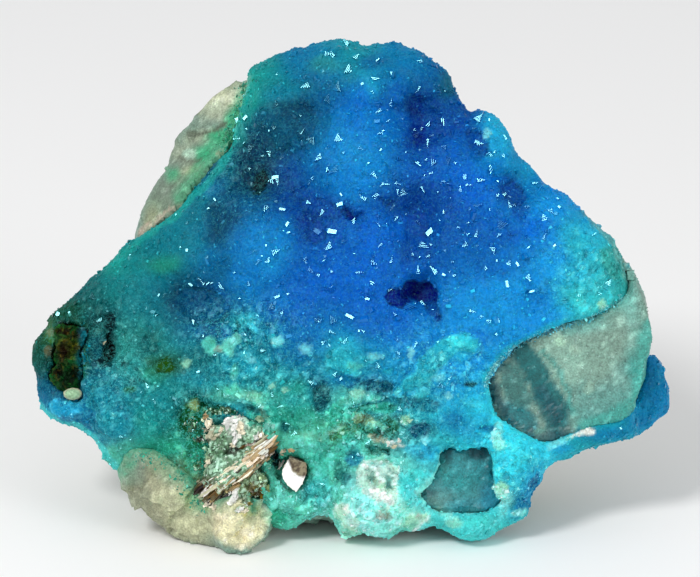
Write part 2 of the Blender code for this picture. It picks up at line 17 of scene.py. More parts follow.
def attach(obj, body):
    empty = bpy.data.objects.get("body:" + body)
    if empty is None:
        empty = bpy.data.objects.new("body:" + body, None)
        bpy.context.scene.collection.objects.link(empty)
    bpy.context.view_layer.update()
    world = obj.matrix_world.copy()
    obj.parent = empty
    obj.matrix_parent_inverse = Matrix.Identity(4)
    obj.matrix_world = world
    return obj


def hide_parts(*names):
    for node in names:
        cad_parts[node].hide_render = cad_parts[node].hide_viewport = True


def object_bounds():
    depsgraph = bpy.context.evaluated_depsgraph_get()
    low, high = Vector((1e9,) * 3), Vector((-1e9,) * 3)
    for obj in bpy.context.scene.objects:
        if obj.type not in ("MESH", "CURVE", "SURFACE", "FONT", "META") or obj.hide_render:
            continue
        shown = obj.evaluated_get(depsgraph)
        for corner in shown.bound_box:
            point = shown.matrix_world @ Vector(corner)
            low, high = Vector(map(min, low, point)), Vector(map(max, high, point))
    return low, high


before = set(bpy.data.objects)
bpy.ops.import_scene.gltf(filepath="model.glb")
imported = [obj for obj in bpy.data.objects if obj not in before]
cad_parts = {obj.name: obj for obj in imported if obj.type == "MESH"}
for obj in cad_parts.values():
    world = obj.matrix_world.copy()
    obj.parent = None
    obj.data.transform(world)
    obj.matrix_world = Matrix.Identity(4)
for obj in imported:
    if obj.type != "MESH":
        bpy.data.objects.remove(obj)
cad_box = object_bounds()

MM = 0.001

# The face frame, as the solids stand in it
FACE_LEAN_DEG = 20.0
FACE_ORIGIN = (-0.05, -6.57, 0.2)

# The camera looks square at the face
CAMERA_TARGET = (0.0, 10.54)
CAMERA_DISTANCE = 220.0
VIEW_WIDTH = 28.0  # millimetres across the picture at the face
SENSOR_WIDTH = 36.0

# Studio lights, in the part's frame: place, size, power
LIGHT_TARGET = (0, 0, 9)
KEY_LIGHT = ((-120, -150, 200), 70, 0.4)
FILL_LIGHT = ((170, -160, 90), 120, 0.17)
WORLD_STRENGTH = 0.62

# Colours as they look on the specimen, red, green and blue from 0 to 255
PALETTE = {
    "azure": (30, 104, 194), "bright_azure": (30, 106, 206), "deep_azure": (26, 94, 176),
    "sky": (34, 128, 202), "bright_sky": (38, 144, 212), "ocean": (32, 118, 170),
    "deep_ocean": (24, 96, 152), "navy": (20, 76, 156), "deep_navy": (12, 38, 126),
    "petrol": (22, 90, 124), "dark_petrol": (14, 66, 96), "black_teal": (10, 44, 52),
    "black": (8, 18, 20), "teal": (34, 130, 148), "dark_teal": (26, 98, 102), "lagoon": (40, 146, 164),
    "cyan_teal": (40, 150, 182), "cyan": (42, 162, 206), "bright_cyan": (60, 210, 230),
    "turquoise": (48, 172, 188), "bright_turquoise": (76, 208, 208), "viridian": (38, 158, 148),
    "lagoon_green": (36, 148, 148), "sea_teal": (54, 152, 144), "sea_green": (50, 162, 132),
    "sea_foam": (92, 198, 172), "pale_green": (152, 222, 190), "pale_cyan": (130, 224, 230),
    "pale_aqua": (150, 250, 236), "pale_grey": (190, 230, 216), "grey_teal": (104, 158, 146),
    "moss": (72, 124, 66), "forest": (30, 82, 56), "deep_forest": (24, 84, 44), "olive": (46, 88, 24),
    "bone": (208, 206, 174), "ivory": (248, 248, 238), "umber": (110, 84, 62), "smoke": (124, 134, 116),
    "frost": (124, 154, 140), "pale_frost": (138, 176, 160), "slate_teal": (28, 84, 96),
    "window": (54, 144, 150), "straw": (232, 226, 186), "sand": (178, 172, 144),
    "copper_green": (58, 168, 122), "pink_beige": (204, 182, 164), "cream": (246, 236, 208),
    "tan": (190, 162, 118), "brown": (112, 84, 50), "dark_brown": (44, 32, 14), "ochre": (138, 112, 36),
    "coffee": (72, 56, 36), "grey_green": (104, 146, 110), "mint": (186, 232, 200),
    "mint_frost": (168, 200, 178), "dark_rock": (92, 112, 102), "clay_dark": (134, 132, 108),
    "sand_green": (160, 166, 132), "yellow_green": (156, 192, 132), "pale_grey_green": (168, 180, 156),
    "rock_dark": (92, 102, 86), "grain_green": (150, 186, 150), "rock_grey": (122, 138, 122),
    "wheat": (192, 194, 158), "leaf": (132, 154, 102), "limonite_black": (18, 24, 8),
    "limonite_olive": (58, 72, 26), "pale_sea": (104, 202, 184), "pale_mint": (196, 240, 214),
    "white": (252, 252, 246), "gold": (128, 112, 40), "walnut": (92, 78, 48), "dark_pool": (16, 84, 92),
    "petrol_pool": (26, 112, 128), "dull_clay": (158, 157, 130), "smoky_green": (132, 160, 128),
    "beige_green": (207, 212, 184), "sage": (120, 148, 106), "light_leaf": (150, 206, 150),
    "smoke_teal": (64, 120, 116), "green_coat": (96, 172, 138), "deep_slate": (0, 104, 106),
    "leaf_green": (44, 126, 88), "sea_bright": (70, 194, 170), "lagoon_pale": (84, 182, 170),
    "turquoise_pale": (60, 194, 202), "pale_teal": (124, 190, 178), "bright_sea": (66, 166, 154),
    "olive_straw": (184, 178, 112), "ice": (222, 250, 242), "sea_frost": (100, 156, 148),
    "pale_clay": (188, 192, 158), "slate_pool": (0, 86, 94), "pool": (50, 122, 126),
    "lagoon_blue": (30, 142, 168), "earth": (46, 38, 14), "rust_gold": (134, 100, 40),
    "grey_brown": (138, 128, 100),
}

# How much lighter than its pigment a surface looks: the sheen of its small faces, then a gain
SHEEN = 0.015
SHEEN_GAIN = 1.1

# The crust's broad colours, blended into one another: x, y, reach, colour. The darker petrol of the
# upper-left flank is partly painted shade.
CRUST_GROUND = [
    (-3.5, 19.1, 1.0, "viridian"), (-2.0, 19.6, 1.2, "ocean"), (0.0, 20.0, 1.0, "lagoon"),
    (1.9, 19.8, 1.0, "ocean"), (3.5, 18.6, 1.0, "deep_ocean"), (-2.6, 17.5, 1.4, "petrol"),
    (-3.8, 15.7, 1.2, "dark_petrol"), (0.1, 16.1, 1.6, "sky"), (3.2, 17.3, 1.4, "navy"),
    (4.5, 15.3, 1.4, "azure"), (5.9, 16.5, 0.8, "cyan"), (6.8, 14.9, 1.0, "ocean"),
    (-5.0, 13.9, 1.0, "petrol"), (-7.0, 12.7, 1.2, "teal"), (-9.2, 11.3, 1.2, "lagoon_green"),
    (-4.2, 11.8, 1.5, "sky"), (-1.6, 13.8, 1.4, "navy"), (0.0, 11.9, 1.8, "azure"),
    (2.8, 13.3, 1.4, "navy"), (5.6, 12.7, 1.8, "deep_azure"), (8.2, 13.1, 1.4, "sky"),
    (10.0, 11.5, 1.4, "turquoise"), (11.1, 10.7, 0.8, "sea_teal"), (-10.4, 9.9, 1.0, "dark_teal"),
    (-8.0, 10.1, 1.1, "teal"), (-6.2, 10.1, 1.1, "petrol"), (-11.6, 8.1, 1.2, "forest"),
    (-8.8, 8.1, 1.2, "sea_teal"), (-10.8, 5.7, 1.4, "ocean"), (-8.0, 6.1, 1.4, "lagoon"),
    (-7.4, 4.3, 1.0, "sea_green"), (-6.3, 5.1, 0.8, "forest"), (-4.4, 7.5, 1.6, "lagoon"),
    (-2.0, 9.3, 1.4, "azure"), (1.4, 10.1, 1.4, "azure"), (6.0, 10.1, 1.6, "bright_sky"),
    (-0.4, 7.5, 1.4, "cyan_teal"), (3.6, 8.1, 1.5, "bright_sky"), (-2.0, 5.3, 1.2, "sea_green"),
    (-0.2, 4.2, 1.0, "sea_bright"), (2.0, 5.1, 0.9, "lagoon_pale"), (3.1, 4.4, 0.64, "turquoise_pale"),
    (2.4, 6.1, 1.4, "cyan_teal"), (4.8, 6.1, 1.4, "cyan"), (-0.8, 3.1, 1.0, "sea_bright"),
    (1.1, 2.1, 1.6, "pale_aqua"), (-2.4, 1.9, 1.0, "sea_foam"), (2.8, 3.9, 1.0, "turquoise"),
    (6.4, 4.1, 1.4, "bright_cyan"), (4.8, 1.1, 1.4, "bright_turquoise"), (7.2, 2.3, 0.9, "ocean"),
    (12.4, 6.5, 1.4, "ocean"), (10.0, 4.6, 1.4, "lagoon"), (-9.2, 3.5, 0.8, "sea_foam"),
]

# Washes over lobes, hollows and stains: x, y, reach across, reach up, colour, strength. Besides the crust's
# own colours, they hold painted light and shade: brighter lobes, darker hollows and a darker upper-left
# flank.
CRUST_WASHES = [
    (-4.0, 18.2, 0.4, 1.0, "viridian", 0.8), (-4.5, 17.0, 0.4, 0.9, "viridian", 0.7),
    (-5.0, 15.7, 0.4, 0.8, "teal", 0.6), (-6.0, 14.5, 0.48, 0.64, "teal", 0.7),
    (-1.0, 19.5, 0.64, 0.36, "sea_teal", 0.6), (-2.0, 18.7, 0.9, 0.36, "teal", 0.4),
    (-0.8, 18.1, 0.72, 1.0, "deep_ocean", 0.5), (-2.2, 17.9, 0.8, 0.56, "dark_petrol", 0.8),
    (-2.9, 16.7, 1.1, 0.9, "petrol", 0.8), (-3.7, 15.0, 0.6, 0.72, "black_teal", 0.35),
    (-3.7, 16.1, 0.8, 0.9, "dark_petrol", 0.8), (-5.1, 13.4, 0.6, 0.8, "dark_petrol", 0.7),
    (-5.4, 14.7, 0.56, 0.4, "ocean", 0.6), (-4.2, 13.9, 0.72, 0.4, "deep_ocean", 0.5),
    (1.0, 19.8, 0.64, 0.32, "deep_ocean", 0.6), (0.9, 18.8, 0.48, 0.56, "cyan", 0.6),
    (0.8, 19.6, 0.56, 0.32, "deep_ocean", 0.6), (-2.7, 18.4, 0.72, 0.48, "cyan_teal", 0.6),
    (1.9, 17.4, 0.48, 0.72, "azure", 0.5), (5.6, 11.4, 0.72, 0.56, "deep_azure", 0.6),
    (6.8, 12.5, 0.48, 0.48, "deep_azure", 0.6), (10.3, 11.2, 0.48, 0.72, "turquoise", 0.6),
    (10.2, 11.4, 0.56, 0.64, "bright_cyan", 0.3), (-2.7, 8.9, 0.72, 0.4, "ocean", 0.6),
    (-6.0, 7.6, 0.9, 0.48, "dark_teal", 0.7), (2.1, 6.5, 0.64, 0.4, "cyan", 0.9),
    (3.9, 18.7, 0.4, 0.64, "dark_teal", 0.6), (0.1, 16.0, 1.2, 1.7, "bright_sky", 0.9),
    (-0.3, 14.8, 0.8, 0.72, "sky", 0.8), (0.5, 17.7, 1.0, 1.0, "bright_azure", 0.6),
    (1.0, 17.0, 0.9, 1.0, "sky", 0.6), (-3.4, 12.1, 1.0, 1.3, "bright_sky", 0.8),
    (-4.0, 11.0, 0.64, 0.56, "sky", 0.6), (1.4, 12.6, 1.1, 1.2, "bright_azure", 0.8),
    (0.0, 10.7, 1.8, 1.0, "bright_azure", 0.8), (5.1, 14.5, 1.1, 0.8, "bright_azure", 0.6),
    (5.6, 15.5, 0.9, 0.48, "sky", 0.6), (7.0, 15.3, 0.72, 0.4, "cyan", 0.5),
    (8.2, 13.6, 0.8, 0.56, "bright_sky", 0.9), (7.9, 11.8, 1.1, 1.0, "bright_sky", 0.9),
    (7.4, 13.0, 0.64, 0.4, "bright_azure", 0.7), (5.8, 17.0, 0.52, 0.8, "cyan", 0.8),
    (2.0, 18.6, 0.48, 0.56, "bright_azure", 0.4), (-5.4, 12.6, 0.56, 0.72, "dark_petrol", 0.7),
    (-5.1, 11.3, 0.48, 0.72, "petrol", 0.6), (-6.4, 12.4, 0.56, 0.56, "teal", 0.5),
    (5.9, 16.1, 0.56, 0.4, "cyan", 0.6), (9.0, 12.5, 0.56, 1.0, "turquoise", 0.6),
    (9.8, 10.3, 1.0, 0.72, "bright_turquoise", 0.8), (8.6, 10.7, 0.56, 1.0, "turquoise", 0.5),
    (6.3, 10.4, 1.3, 0.56, "bright_sky", 0.8), (7.4, 9.9, 0.64, 0.72, "sky", 0.6),
    (10.5, 11.6, 0.56, 0.8, "sea_teal", 0.6), (3.0, 17.9, 0.8, 0.6, "deep_navy", 0.4),
    (4.3, 17.2, 1.0, 0.72, "navy", 0.8), (2.8, 16.6, 0.72, 0.48, "deep_navy", 0.7),
    (5.1, 16.4, 0.56, 0.64, "navy", 0.9), (2.7, 13.9, 0.72, 1.0, "deep_navy", 0.3),
    (3.6, 14.1, 0.9, 0.64, "navy", 0.8), (2.3, 12.1, 0.36, 1.0, "navy", 0.8),
    (3.0, 14.5, 0.9, 0.32, "navy", 0.7), (0.0, 13.5, 0.48, 0.24, "deep_navy", 0.3),
    (-1.4, 13.6, 1.0, 0.64, "navy", 0.8), (-1.7, 13.0, 0.72, 0.48, "deep_navy", 0.5),
    (-2.3, 15.3, 0.64, 0.64, "navy", 0.6), (6.4, 14.5, 0.6, 0.56, "navy", 0.9),
    (6.8, 13.8, 0.36, 0.48, "navy", 0.8), (6.0, 12.8, 0.9, 0.56, "deep_azure", 0.8),
    (-1.6, 12.5, 0.56, 0.4, "navy", 0.5), (-6.8, 10.2, 0.72, 0.56, "dark_petrol", 0.9),
    (-5.8, 10.0, 0.9, 0.64, "navy", 0.7), (-5.6, 9.3, 0.64, 0.32, "dark_petrol", 0.6),
    (-3.1, 9.4, 0.48, 0.32, "navy", 0.4), (-2.8, 10.1, 0.64, 0.48, "sky", 0.6),
    (-1.5, 8.7, 0.56, 0.32, "sky", 0.5), (1.5, 14.1, 0.56, 0.4, "navy", 0.5),
    (0.8, 8.9, 0.64, 0.4, "azure", 0.5), (3.6, 9.6, 0.32, 0.48, "navy", 0.5),
    (1.8, 8.9, 0.64, 0.64, "azure", 0.5), (-11.5, 9.8, 0.8, 0.4, "forest", 0.8),
    (-12.1, 8.9, 0.32, 0.56, "moss", 0.8), (-11.1, 8.4, 1.0, 1.4, "forest", 0.9),
    (-10.0, 9.4, 0.8, 0.48, "dark_teal", 0.8), (-10.0, 8.9, 0.56, 0.9, "black_teal", 0.35),
    (-10.1, 8.1, 0.48, 0.64, "petrol", 0.6), (-11.8, 6.4, 0.48, 0.32, "petrol", 0.7),
    (-7.4, 7.4, 0.9, 0.56, "olive", 0.8), (-8.0, 8.3, 0.56, 0.48, "dark_teal", 0.7),
    (-7.4, 11.5, 0.8, 0.4, "sea_green", 0.7), (-7.6, 5.4, 0.56, 0.48, "turquoise", 0.5),
    (-9.8, 11.4, 0.56, 0.32, "viridian", 0.7), (-8.6, 6.7, 0.48, 0.28, "dark_teal", 0.6),
    (-10.0, 6.5, 0.9, 0.48, "teal", 0.8), (-10.0, 6.0, 0.8, 0.32, "petrol", 0.4),
    (-11.6, 5.6, 1.0, 0.36, "cyan", 0.8), (-9.5, 4.8, 1.0, 0.48, "lagoon", 0.8),
    (-9.5, 3.8, 0.56, 0.4, "sea_foam", 0.8), (-8.0, 5.3, 0.8, 1.0, "viridian", 0.6),
    (-6.9, 4.5, 0.64, 0.56, "sea_green", 0.8), (-7.7, 4.1, 0.56, 0.48, "sea_green", 0.9),
    (-7.8, 6.9, 0.64, 0.48, "sea_green", 0.6), (-7.0, 6.4, 0.56, 0.4, "viridian", 0.5),
    (-6.3, 5.2, 0.6, 1.0, "deep_forest", 0.95), (-5.8, 6.2, 0.9, 0.4, "dark_teal", 0.7),
    (-6.4, 3.3, 0.48, 0.72, "moss", 0.8), (-5.5, 5.6, 0.56, 0.32, "deep_forest", 0.8),
    (-5.3, 8.8, 1.2, 0.48, "deep_ocean", 0.8), (-5.0, 8.2, 1.0, 0.4, "teal", 0.5),
    (-4.0, 7.4, 0.4, 0.32, "turquoise", 0.6), (-4.3, 9.3, 0.56, 0.28, "turquoise", 0.7),
    (-4.1, 6.3, 1.4, 0.32, "sea_foam", 0.7), (-5.1, 6.6, 0.56, 0.32, "sea_foam", 0.5),
    (-2.6, 8.1, 0.72, 0.48, "ocean", 0.6), (-4.6, 7.6, 0.56, 0.4, "teal", 0.5),
    (-1.1, 6.4, 0.56, 0.72, "petrol", 0.9), (0.8, 6.6, 1.2, 0.36, "deep_ocean", 0.8),
    (-0.2, 8.0, 0.64, 0.56, "bright_cyan", 0.45), (-0.7, 7.6, 0.56, 0.48, "turquoise", 0.7),
    (0.1, 6.2, 1.0, 0.48, "sea_foam", 0.7), (-2.0, 6.2, 0.8, 0.48, "lagoon", 0.5),
    (-1.3, 5.0, 0.64, 0.64, "sea_foam", 0.6), (0.0, 5.1, 1.2, 0.36, "moss", 0.6),
    (1.0, 5.7, 1.0, 0.36, "dark_teal", 0.5), (1.6, 5.0, 0.56, 0.4, "moss", 0.6),
    (2.8, 5.8, 1.0, 0.56, "teal", 0.5), (3.0, 5.0, 0.48, 0.4, "petrol", 0.6),
    (3.2, 7.0, 0.72, 0.4, "turquoise", 0.4), (4.5, 8.2, 0.48, 0.4, "bright_cyan", 0.5),
    (5.1, 8.6, 0.56, 0.32, "azure", 0.5), (5.0, 7.6, 0.48, 0.32, "sky", 0.6),
    (-2.6, 5.0, 0.4, 0.24, "dark_teal", 0.8), (-2.0, 4.6, 0.72, 0.32, "pale_green", 0.5),
    (-0.8, 4.5, 0.56, 0.8, "sea_foam", 0.7), (-2.6, 4.4, 0.56, 0.56, "sea_foam", 0.6),
    (0.1, 4.1, 0.48, 0.4, "teal", 0.3), (-0.2, 3.3, 0.32, 0.48, "dark_teal", 0.3),
    (0.9, 3.9, 0.72, 0.36, "dark_teal", 0.3), (-2.7, 1.8, 0.56, 0.48, "pale_sea", 0.8),
    (-1.8, 2.4, 0.4, 0.48, "dark_teal", 0.5), (-2.3, 2.1, 0.48, 0.32, "sea_foam", 0.8),
    (-3.0, 1.3, 0.56, 0.4, "sea_green", 0.8), (-1.3, 2.4, 0.72, 0.64, "turquoise", 0.6),
    (-0.6, 2.1, 0.4, 0.56, "sea_foam", 0.7), (-7.1, 3.4, 0.8, 0.36, "grain_green", 0.5),
    (-6.3, 4.3, 0.4, 0.56, "leaf_green", 0.8), (-6.2, 2.7, 0.4, 0.56, "leaf", 0.7),
    (-6.2, 3.6, 0.36, 0.56, "sea_green", 0.8), (3.3, 5.4, 0.56, 0.4, "turquoise", 0.9),
    (1.0, 3.1, 0.72, 0.48, "grey_teal", 0.4), (1.1, 2.1, 1.4, 0.64, "pale_aqua", 1.0),
    (0.2, 2.1, 0.56, 1.0, "pale_aqua", 0.8), (1.4, 1.1, 0.9, 0.4, "pale_aqua", 0.8),
    (2.6, 2.9, 0.56, 0.56, "bright_turquoise", 0.7), (2.3, 2.1, 0.56, 0.48, "pale_aqua", 0.8),
    (3.1, 4.1, 0.72, 0.4, "cyan", 0.7), (4.2, 5.1, 0.72, 0.56, "ocean", 0.5),
    (5.1, 5.8, 0.72, 0.48, "bright_cyan", 0.5), (6.4, 4.7, 0.72, 0.64, "bright_cyan", 0.9),
    (6.7, 3.5, 0.72, 0.64, "bright_cyan", 0.8), (5.9, 5.3, 0.48, 0.56, "bright_cyan", 0.7),
    (7.4, 3.1, 0.48, 0.64, "cyan", 0.9), (7.5, 2.6, 0.32, 0.32, "deep_ocean", 0.7),
    (7.0, 1.9, 0.4, 0.56, "ocean", 0.8), (4.8, 0.9, 1.2, 0.4, "bright_turquoise", 0.9),
    (6.1, 2.1, 0.32, 0.56, "pale_aqua", 0.6), (8.4, 4.2, 0.56, 0.32, "cyan", 0.8),
    (12.2, 7.2, 0.4, 0.72, "deep_ocean", 0.8), (12.4, 6.4, 0.64, 1.2, "petrol_pool", 0.4),
    (12.5, 6.1, 0.56, 0.56, "ocean", 0.8), (10.4, 4.7, 1.0, 0.32, "ocean", 0.7),
    (11.6, 5.1, 0.64, 0.4, "deep_ocean", 0.5),
]

# Crystal aggregates and specks, and holes darkened with painted shade, all with firm edges, given as the
# washes are
CRUST_MARKS = [
    (-9.64, 9.16, 0.24, 0.44, "black_teal", 0.8), (-9.72, 8.08, 0.32, 0.44, "black", 0.8),
    (-9.92, 7.6, 0.32, 0.24, "black", 0.8), (-9.48, 8.6, 0.16, 0.2, "black_teal", 0.6),
    (-9.08, 7.48, 0.16, 0.12, "black_teal", 0.7), (-8.84, 6.48, 0.28, 0.16, "olive", 0.7),
    (-8.6, 6.8, 0.16, 0.12, "black_teal", 0.5), (-11.52, 8.88, 0.4, 0.32, "dark_brown", 0.9),
    (-11.04, 8.8, 0.4, 0.24, "dark_brown", 0.9), (-10.72, 8.76, 0.24, 0.16, "dark_brown", 0.8),
    (-11.6, 8.0, 0.36, 0.48, "dark_brown", 0.9), (-11.36, 8.4, 0.32, 0.32, "coffee", 0.8),
    (-11.84, 7.04, 0.32, 0.44, "black", 0.9), (-11.2, 6.88, 0.36, 0.28, "black", 0.8),
    (-11.52, 6.64, 0.32, 0.2, "black", 0.8), (-10.88, 7.2, 0.24, 0.4, "deep_forest", 0.8),
    (-10.8, 7.84, 0.24, 0.48, "moss", 0.5), (-12.0, 8.48, 0.2, 0.2, "moss", 0.8),
    (-12.2, 8.0, 0.2, 0.24, "tan", 0.2), (-12.12, 8.72, 0.2, 0.16, "sand", 0.2),
    (-6.56, 7.56, 0.24, 0.16, "pale_green", 0.7), (-7.4, 7.44, 0.36, 0.28, "olive", 0.6),
    (4.84, 6.76, 0.28, 0.12, "black_teal", 0.9), (-3.36, 14.88, 0.16, 0.16, "black_teal", 0.6),
    (-2.96, 3.64, 0.16, 0.32, "black", 0.95), (-3.12, 4.0, 0.16, 0.2, "black_teal", 0.7),
    (-1.56, 7.2, 0.24, 0.16, "petrol", 0.5), (-0.2, 2.96, 0.2, 0.28, "dark_teal", 0.8),
    (-5.28, 8.08, 0.2, 0.16, "pale_grey_green", 0.5), (-5.6, 8.48, 0.24, 0.2, "sea_foam", 0.3),
    (-2.92, 8.48, 0.24, 0.2, "pale_cyan", 0.8), (-1.76, 8.16, 0.28, 0.2, "pale_cyan", 0.6),
    (-3.88, 7.68, 0.16, 0.16, "pale_cyan", 0.7), (-4.64, 7.2, 0.16, 0.36, "sea_foam", 0.5),
    (-3.16, 6.64, 0.16, 0.12, "pale_green", 0.7), (-2.56, 6.48, 0.2, 0.12, "pale_green", 0.6),
    (-4.72, 6.4, 0.48, 0.16, "sea_foam", 0.7), (-4.0, 6.24, 0.48, 0.16, "pale_green", 0.5),
    (-0.4, 7.76, 0.56, 0.32, "turquoise", 0.7), (0.2, 7.44, 0.4, 0.16, "sea_foam", 0.5),
    (1.0, 7.8, 0.32, 0.12, "pale_cyan", 0.5), (2.44, 7.96, 0.12, 0.28, "pale_cyan", 0.8),
    (0.32, 6.32, 0.36, 0.2, "pale_green", 0.7), (-0.2, 6.0, 0.32, 0.12, "sea_foam", 0.6),
    (1.48, 7.28, 0.24, 0.12, "turquoise", 0.6), (3.88, 6.28, 0.2, 0.16, "pale_cyan", 0.7),
    (3.0, 4.48, 0.2, 0.16, "pale_cyan", 0.9), (2.2, 5.28, 0.2, 0.16, "pale_green", 0.8),
    (1.44, 4.12, 0.24, 0.12, "forest", 0.7), (0.88, 4.0, 0.36, 0.16, "forest", 0.6),
    (1.24, 3.76, 0.2, 0.16, "pale_green", 0.6), (0.24, 3.84, 0.2, 0.24, "teal", 0.7),
    (1.6, 4.88, 0.24, 0.16, "forest", 0.6), (0.64, 4.88, 0.24, 0.16, "forest", 0.5),
    (0.08, 4.88, 0.24, 0.12, "moss", 0.6), (0.96, 5.12, 0.24, 0.12, "pale_green", 0.5),
    (3.0, 4.96, 0.2, 0.24, "petrol", 0.6), (4.2, 5.28, 0.32, 0.28, "ocean", 0.5),
    (3.52, 6.96, 0.32, 0.12, "pale_cyan", 0.4), (1.16, 3.36, 0.16, 0.2, "pale_grey", 0.8),
    (0.44, 3.12, 0.2, 0.36, "pale_grey", 0.8), (1.48, 1.48, 0.24, 0.16, "umber", 0.5),
    (1.32, 1.56, 0.32, 0.24, "sand", 0.35), (2.48, 1.28, 0.4, 0.16, "pale_green", 0.5),
    (2.8, 1.44, 0.16, 0.12, "umber", 0.5), (2.16, 1.04, 0.2, 0.12, "pale_green", 0.7),
    (2.0, 1.68, 0.4, 0.36, "pale_aqua", 0.8), (-0.4, 1.44, 0.24, 0.24, "pale_green", 0.6),
    (0.08, 1.28, 0.32, 0.2, "pale_grey", 0.6), (6.0, 2.6, 0.32, 0.2, "pale_green", 0.8),
    (6.12, 2.24, 0.16, 0.32, "pale_aqua", 0.6), (5.92, 4.88, 0.2, 0.4, "pale_aqua", 0.5),
    (10.12, 9.92, 0.2, 0.2, "pale_green", 0.9), (9.2, 10.08, 0.24, 0.2, "bright_turquoise", 0.5),
    (4.08, 1.28, 0.28, 0.16, "pale_aqua", 0.8), (4.2, 1.08, 0.36, 0.2, "pale_green", 0.6),
    (6.8, 1.56, 0.36, 0.16, "pale_aqua", 0.6), (7.32, 1.56, 0.24, 0.16, "turquoise", 0.5),
    (4.72, 1.6, 0.32, 0.12, "pale_aqua", 0.4), (5.48, 16.76, 0.2, 0.2, "pale_cyan", 0.7),
    (-1.12, 4.88, 0.2, 0.4, "sea_foam", 0.5),
]

# Lines of colour over the crust, such as its pale broken edges: colour, width, strength, points
CRUST_STROKES = [
    ("turquoise", 0.14, 0.6, [(5.5, 7.1), (6.2, 8.0), (7.2, 8.6), (8.4, 9.2), (9.7, 9.4), (10.7, 9.7)]),
    ("bright_cyan", 0.16, 0.7, [(5.4, 6.9), (5.6, 6.3), (5.9, 5.5), (6.8, 4.9), (7.9, 4.3)]),
    ("ivory", 0.1, 0.85, [(8.9, 4.6), (9.4, 4.8), (9.8, 4.8)]),
    ("pale_aqua", 0.1, 0.5, [(8.0, 4.2), (8.5, 4.4), (8.9, 4.6)]),
    # The bright turquoise rim at the lower left is a pale broken edge with painted glint on it
    ("bright_turquoise", 0.16, 0.75, [(-12.6, 5.8), (-12.2, 5.4), (-11.7, 5.0), (-11.1, 5.0),
        (-10.6, 4.8), (-10.2, 4.3), (-9.8, 3.8), (-9.4, 3.3), (-8.8, 3.0)]),
    ("sea_foam", 0.14, 0.6, [(-3.1, 1.1), (-2.5, 1.0), (-2.1, 1.5), (-1.3, 1.7), (-0.7, 1.8), (-0.5, 1.0),
        (0.1, 0.7), (1.3, 0.6), (2.1, 0.9), (2.6, 1.1)]),
    ("bright_turquoise", 0.14, 0.6, [(3.5, 1.1), (4.3, 0.6), (5.1, 0.4), (6.0, 0.7), (7.3, 1.5)]),
    ("grey_teal", 0.16, 0.6, [(9.4, 13.7), (10.1, 13.0), (10.6, 12.3), (11.0, 11.5), (11.4, 10.5)]),
    ("grain_green", 0.1, 0.6, [(-4.1, 19.0), (-4.4, 18.1), (-4.7, 17.1), (-5.2, 16.4), (-5.8, 15.5),
        (-6.5, 14.6), (-7.3, 13.8)]),
    ("viridian", 0.16, 0.7, [(-4.0, 19.2), (-4.2, 18.3), (-4.6, 17.2), (-4.9, 16.1), (-5.5, 15.0),
        (-6.4, 14.2), (-7.1, 13.4), (-8.2, 12.7), (-9.5, 11.6)]),
    ("pale_aqua", 0.1, 0.7, [(3.7, 3.9), (3.5, 3.2), (3.1, 2.7), (2.7, 2.4), (3.0, 2.1), (3.5, 1.7),
        (4.0, 1.4)]),
    ("pale_grey", 0.08, 0.8, [(0.3, 2.7), (0.4, 3.3), (0.6, 3.6), (1.4, 3.6), (1.8, 3.3)]),
    ("pale_green", 0.09, 0.5, [(-1.1, 4.5), (-0.8, 4.8), (-0.3, 5.1)]),
    ("sea_foam", 0.1, 0.5, [(-0.6, 3.4), (-0.7, 2.7), (-0.5, 2.1)]),
    ("pale_green", 0.08, 0.5, [(-3.8, 6.1), (-3.4, 5.6), (-3.2, 5.1)]),
    ("navy", 0.12, 0.6, [(-0.1, 14.0), (0.2, 13.5), (0.5, 13.6)]),
]

# Groups of bright crystals: x, y. More lie loose between them, most about the blue heart of the face.
GLINT_GROUPS = [
    (-0.2, 20.4), (-0.0, 19.3), (-1.8, 18.6), (-0.5, 18.6), (1.0, 18.9), (-0.8, 18.1), (1.1, 17.8),
    (2.8, 19.6), (3.5, 18.5), (4.0, 18.4), (1.1, 17.2), (3.2, 17.1), (3.7, 17.2), (4.3, 17.2),
    (2.6, 16.6), (4.0, 16.7), (-0.4, 16.5), (-1.6, 16.4), (-1.3, 15.8), (-0.7, 15.3), (2.7, 15.6),
    (3.4, 15.6), (4.0, 15.6), (3.8, 14.8), (4.6, 15.0), (1.0, 15.0), (1.0, 14.2), (2.1, 14.4),
    (-3.0, 15.0), (-3.2, 14.8), (-0.4, 13.9), (-2.7, 13.7), (-3.3, 13.7), (-2.5, 13.1), (0.2, 13.2),
    (1.9, 13.3), (-1.3, 12.8), (-0.7, 12.8), (-0.9, 12.2), (-0.2, 12.4), (3.2, 12.8), (3.0, 12.3),
    (3.4, 11.3), (3.9, 10.0), (-5.2, 10.6), (-5.6, 10.7), (-5.7, 11.6), (-5.0, 11.8), (-2.9, 10.2),
    (-3.2, 9.8), (-2.9, 12.0), (0.7, 10.1), (2.4, 9.7), (-0.6, 9.3), (-1.3, 9.3), (0.0, 9.4), (5.7, 12.0),
    (6.3, 10.7), (7.2, 11.0), (6.7, 11.5), (7.3, 10.4), (8.6, 10.1), (10.4, 10.7), (10.7, 9.4),
    (7.7, 14.5), (8.4, 13.8), (7.8, 13.4), (8.0, 13.6), (5.6, 15.3), (5.1, 13.8), (-7.9, 9.6),
    (-6.7, 9.6), (-7.7, 10.4), (-10.3, 10.2), (-6.4, 10.7), (-4.0, 16.1), (-4.2, 17.4), (-9.2, 10.1),
    (5.2, 17.3), (6.0, 13.1),
]
LOOSE_GLINTS = 340
GROUPED_SCALES = (1.1, 2.0)
LOOSE_SCALES = (0.25, 0.8)
BLUE_HEART = (2.0, 12.5, 7.5, 6.5)  # x, y, reach across, reach up
GLINT_HEIGHTS = (0.1, 0.16)
GLINT_SUNK = 0.04
GLINT_TILT = 0.045
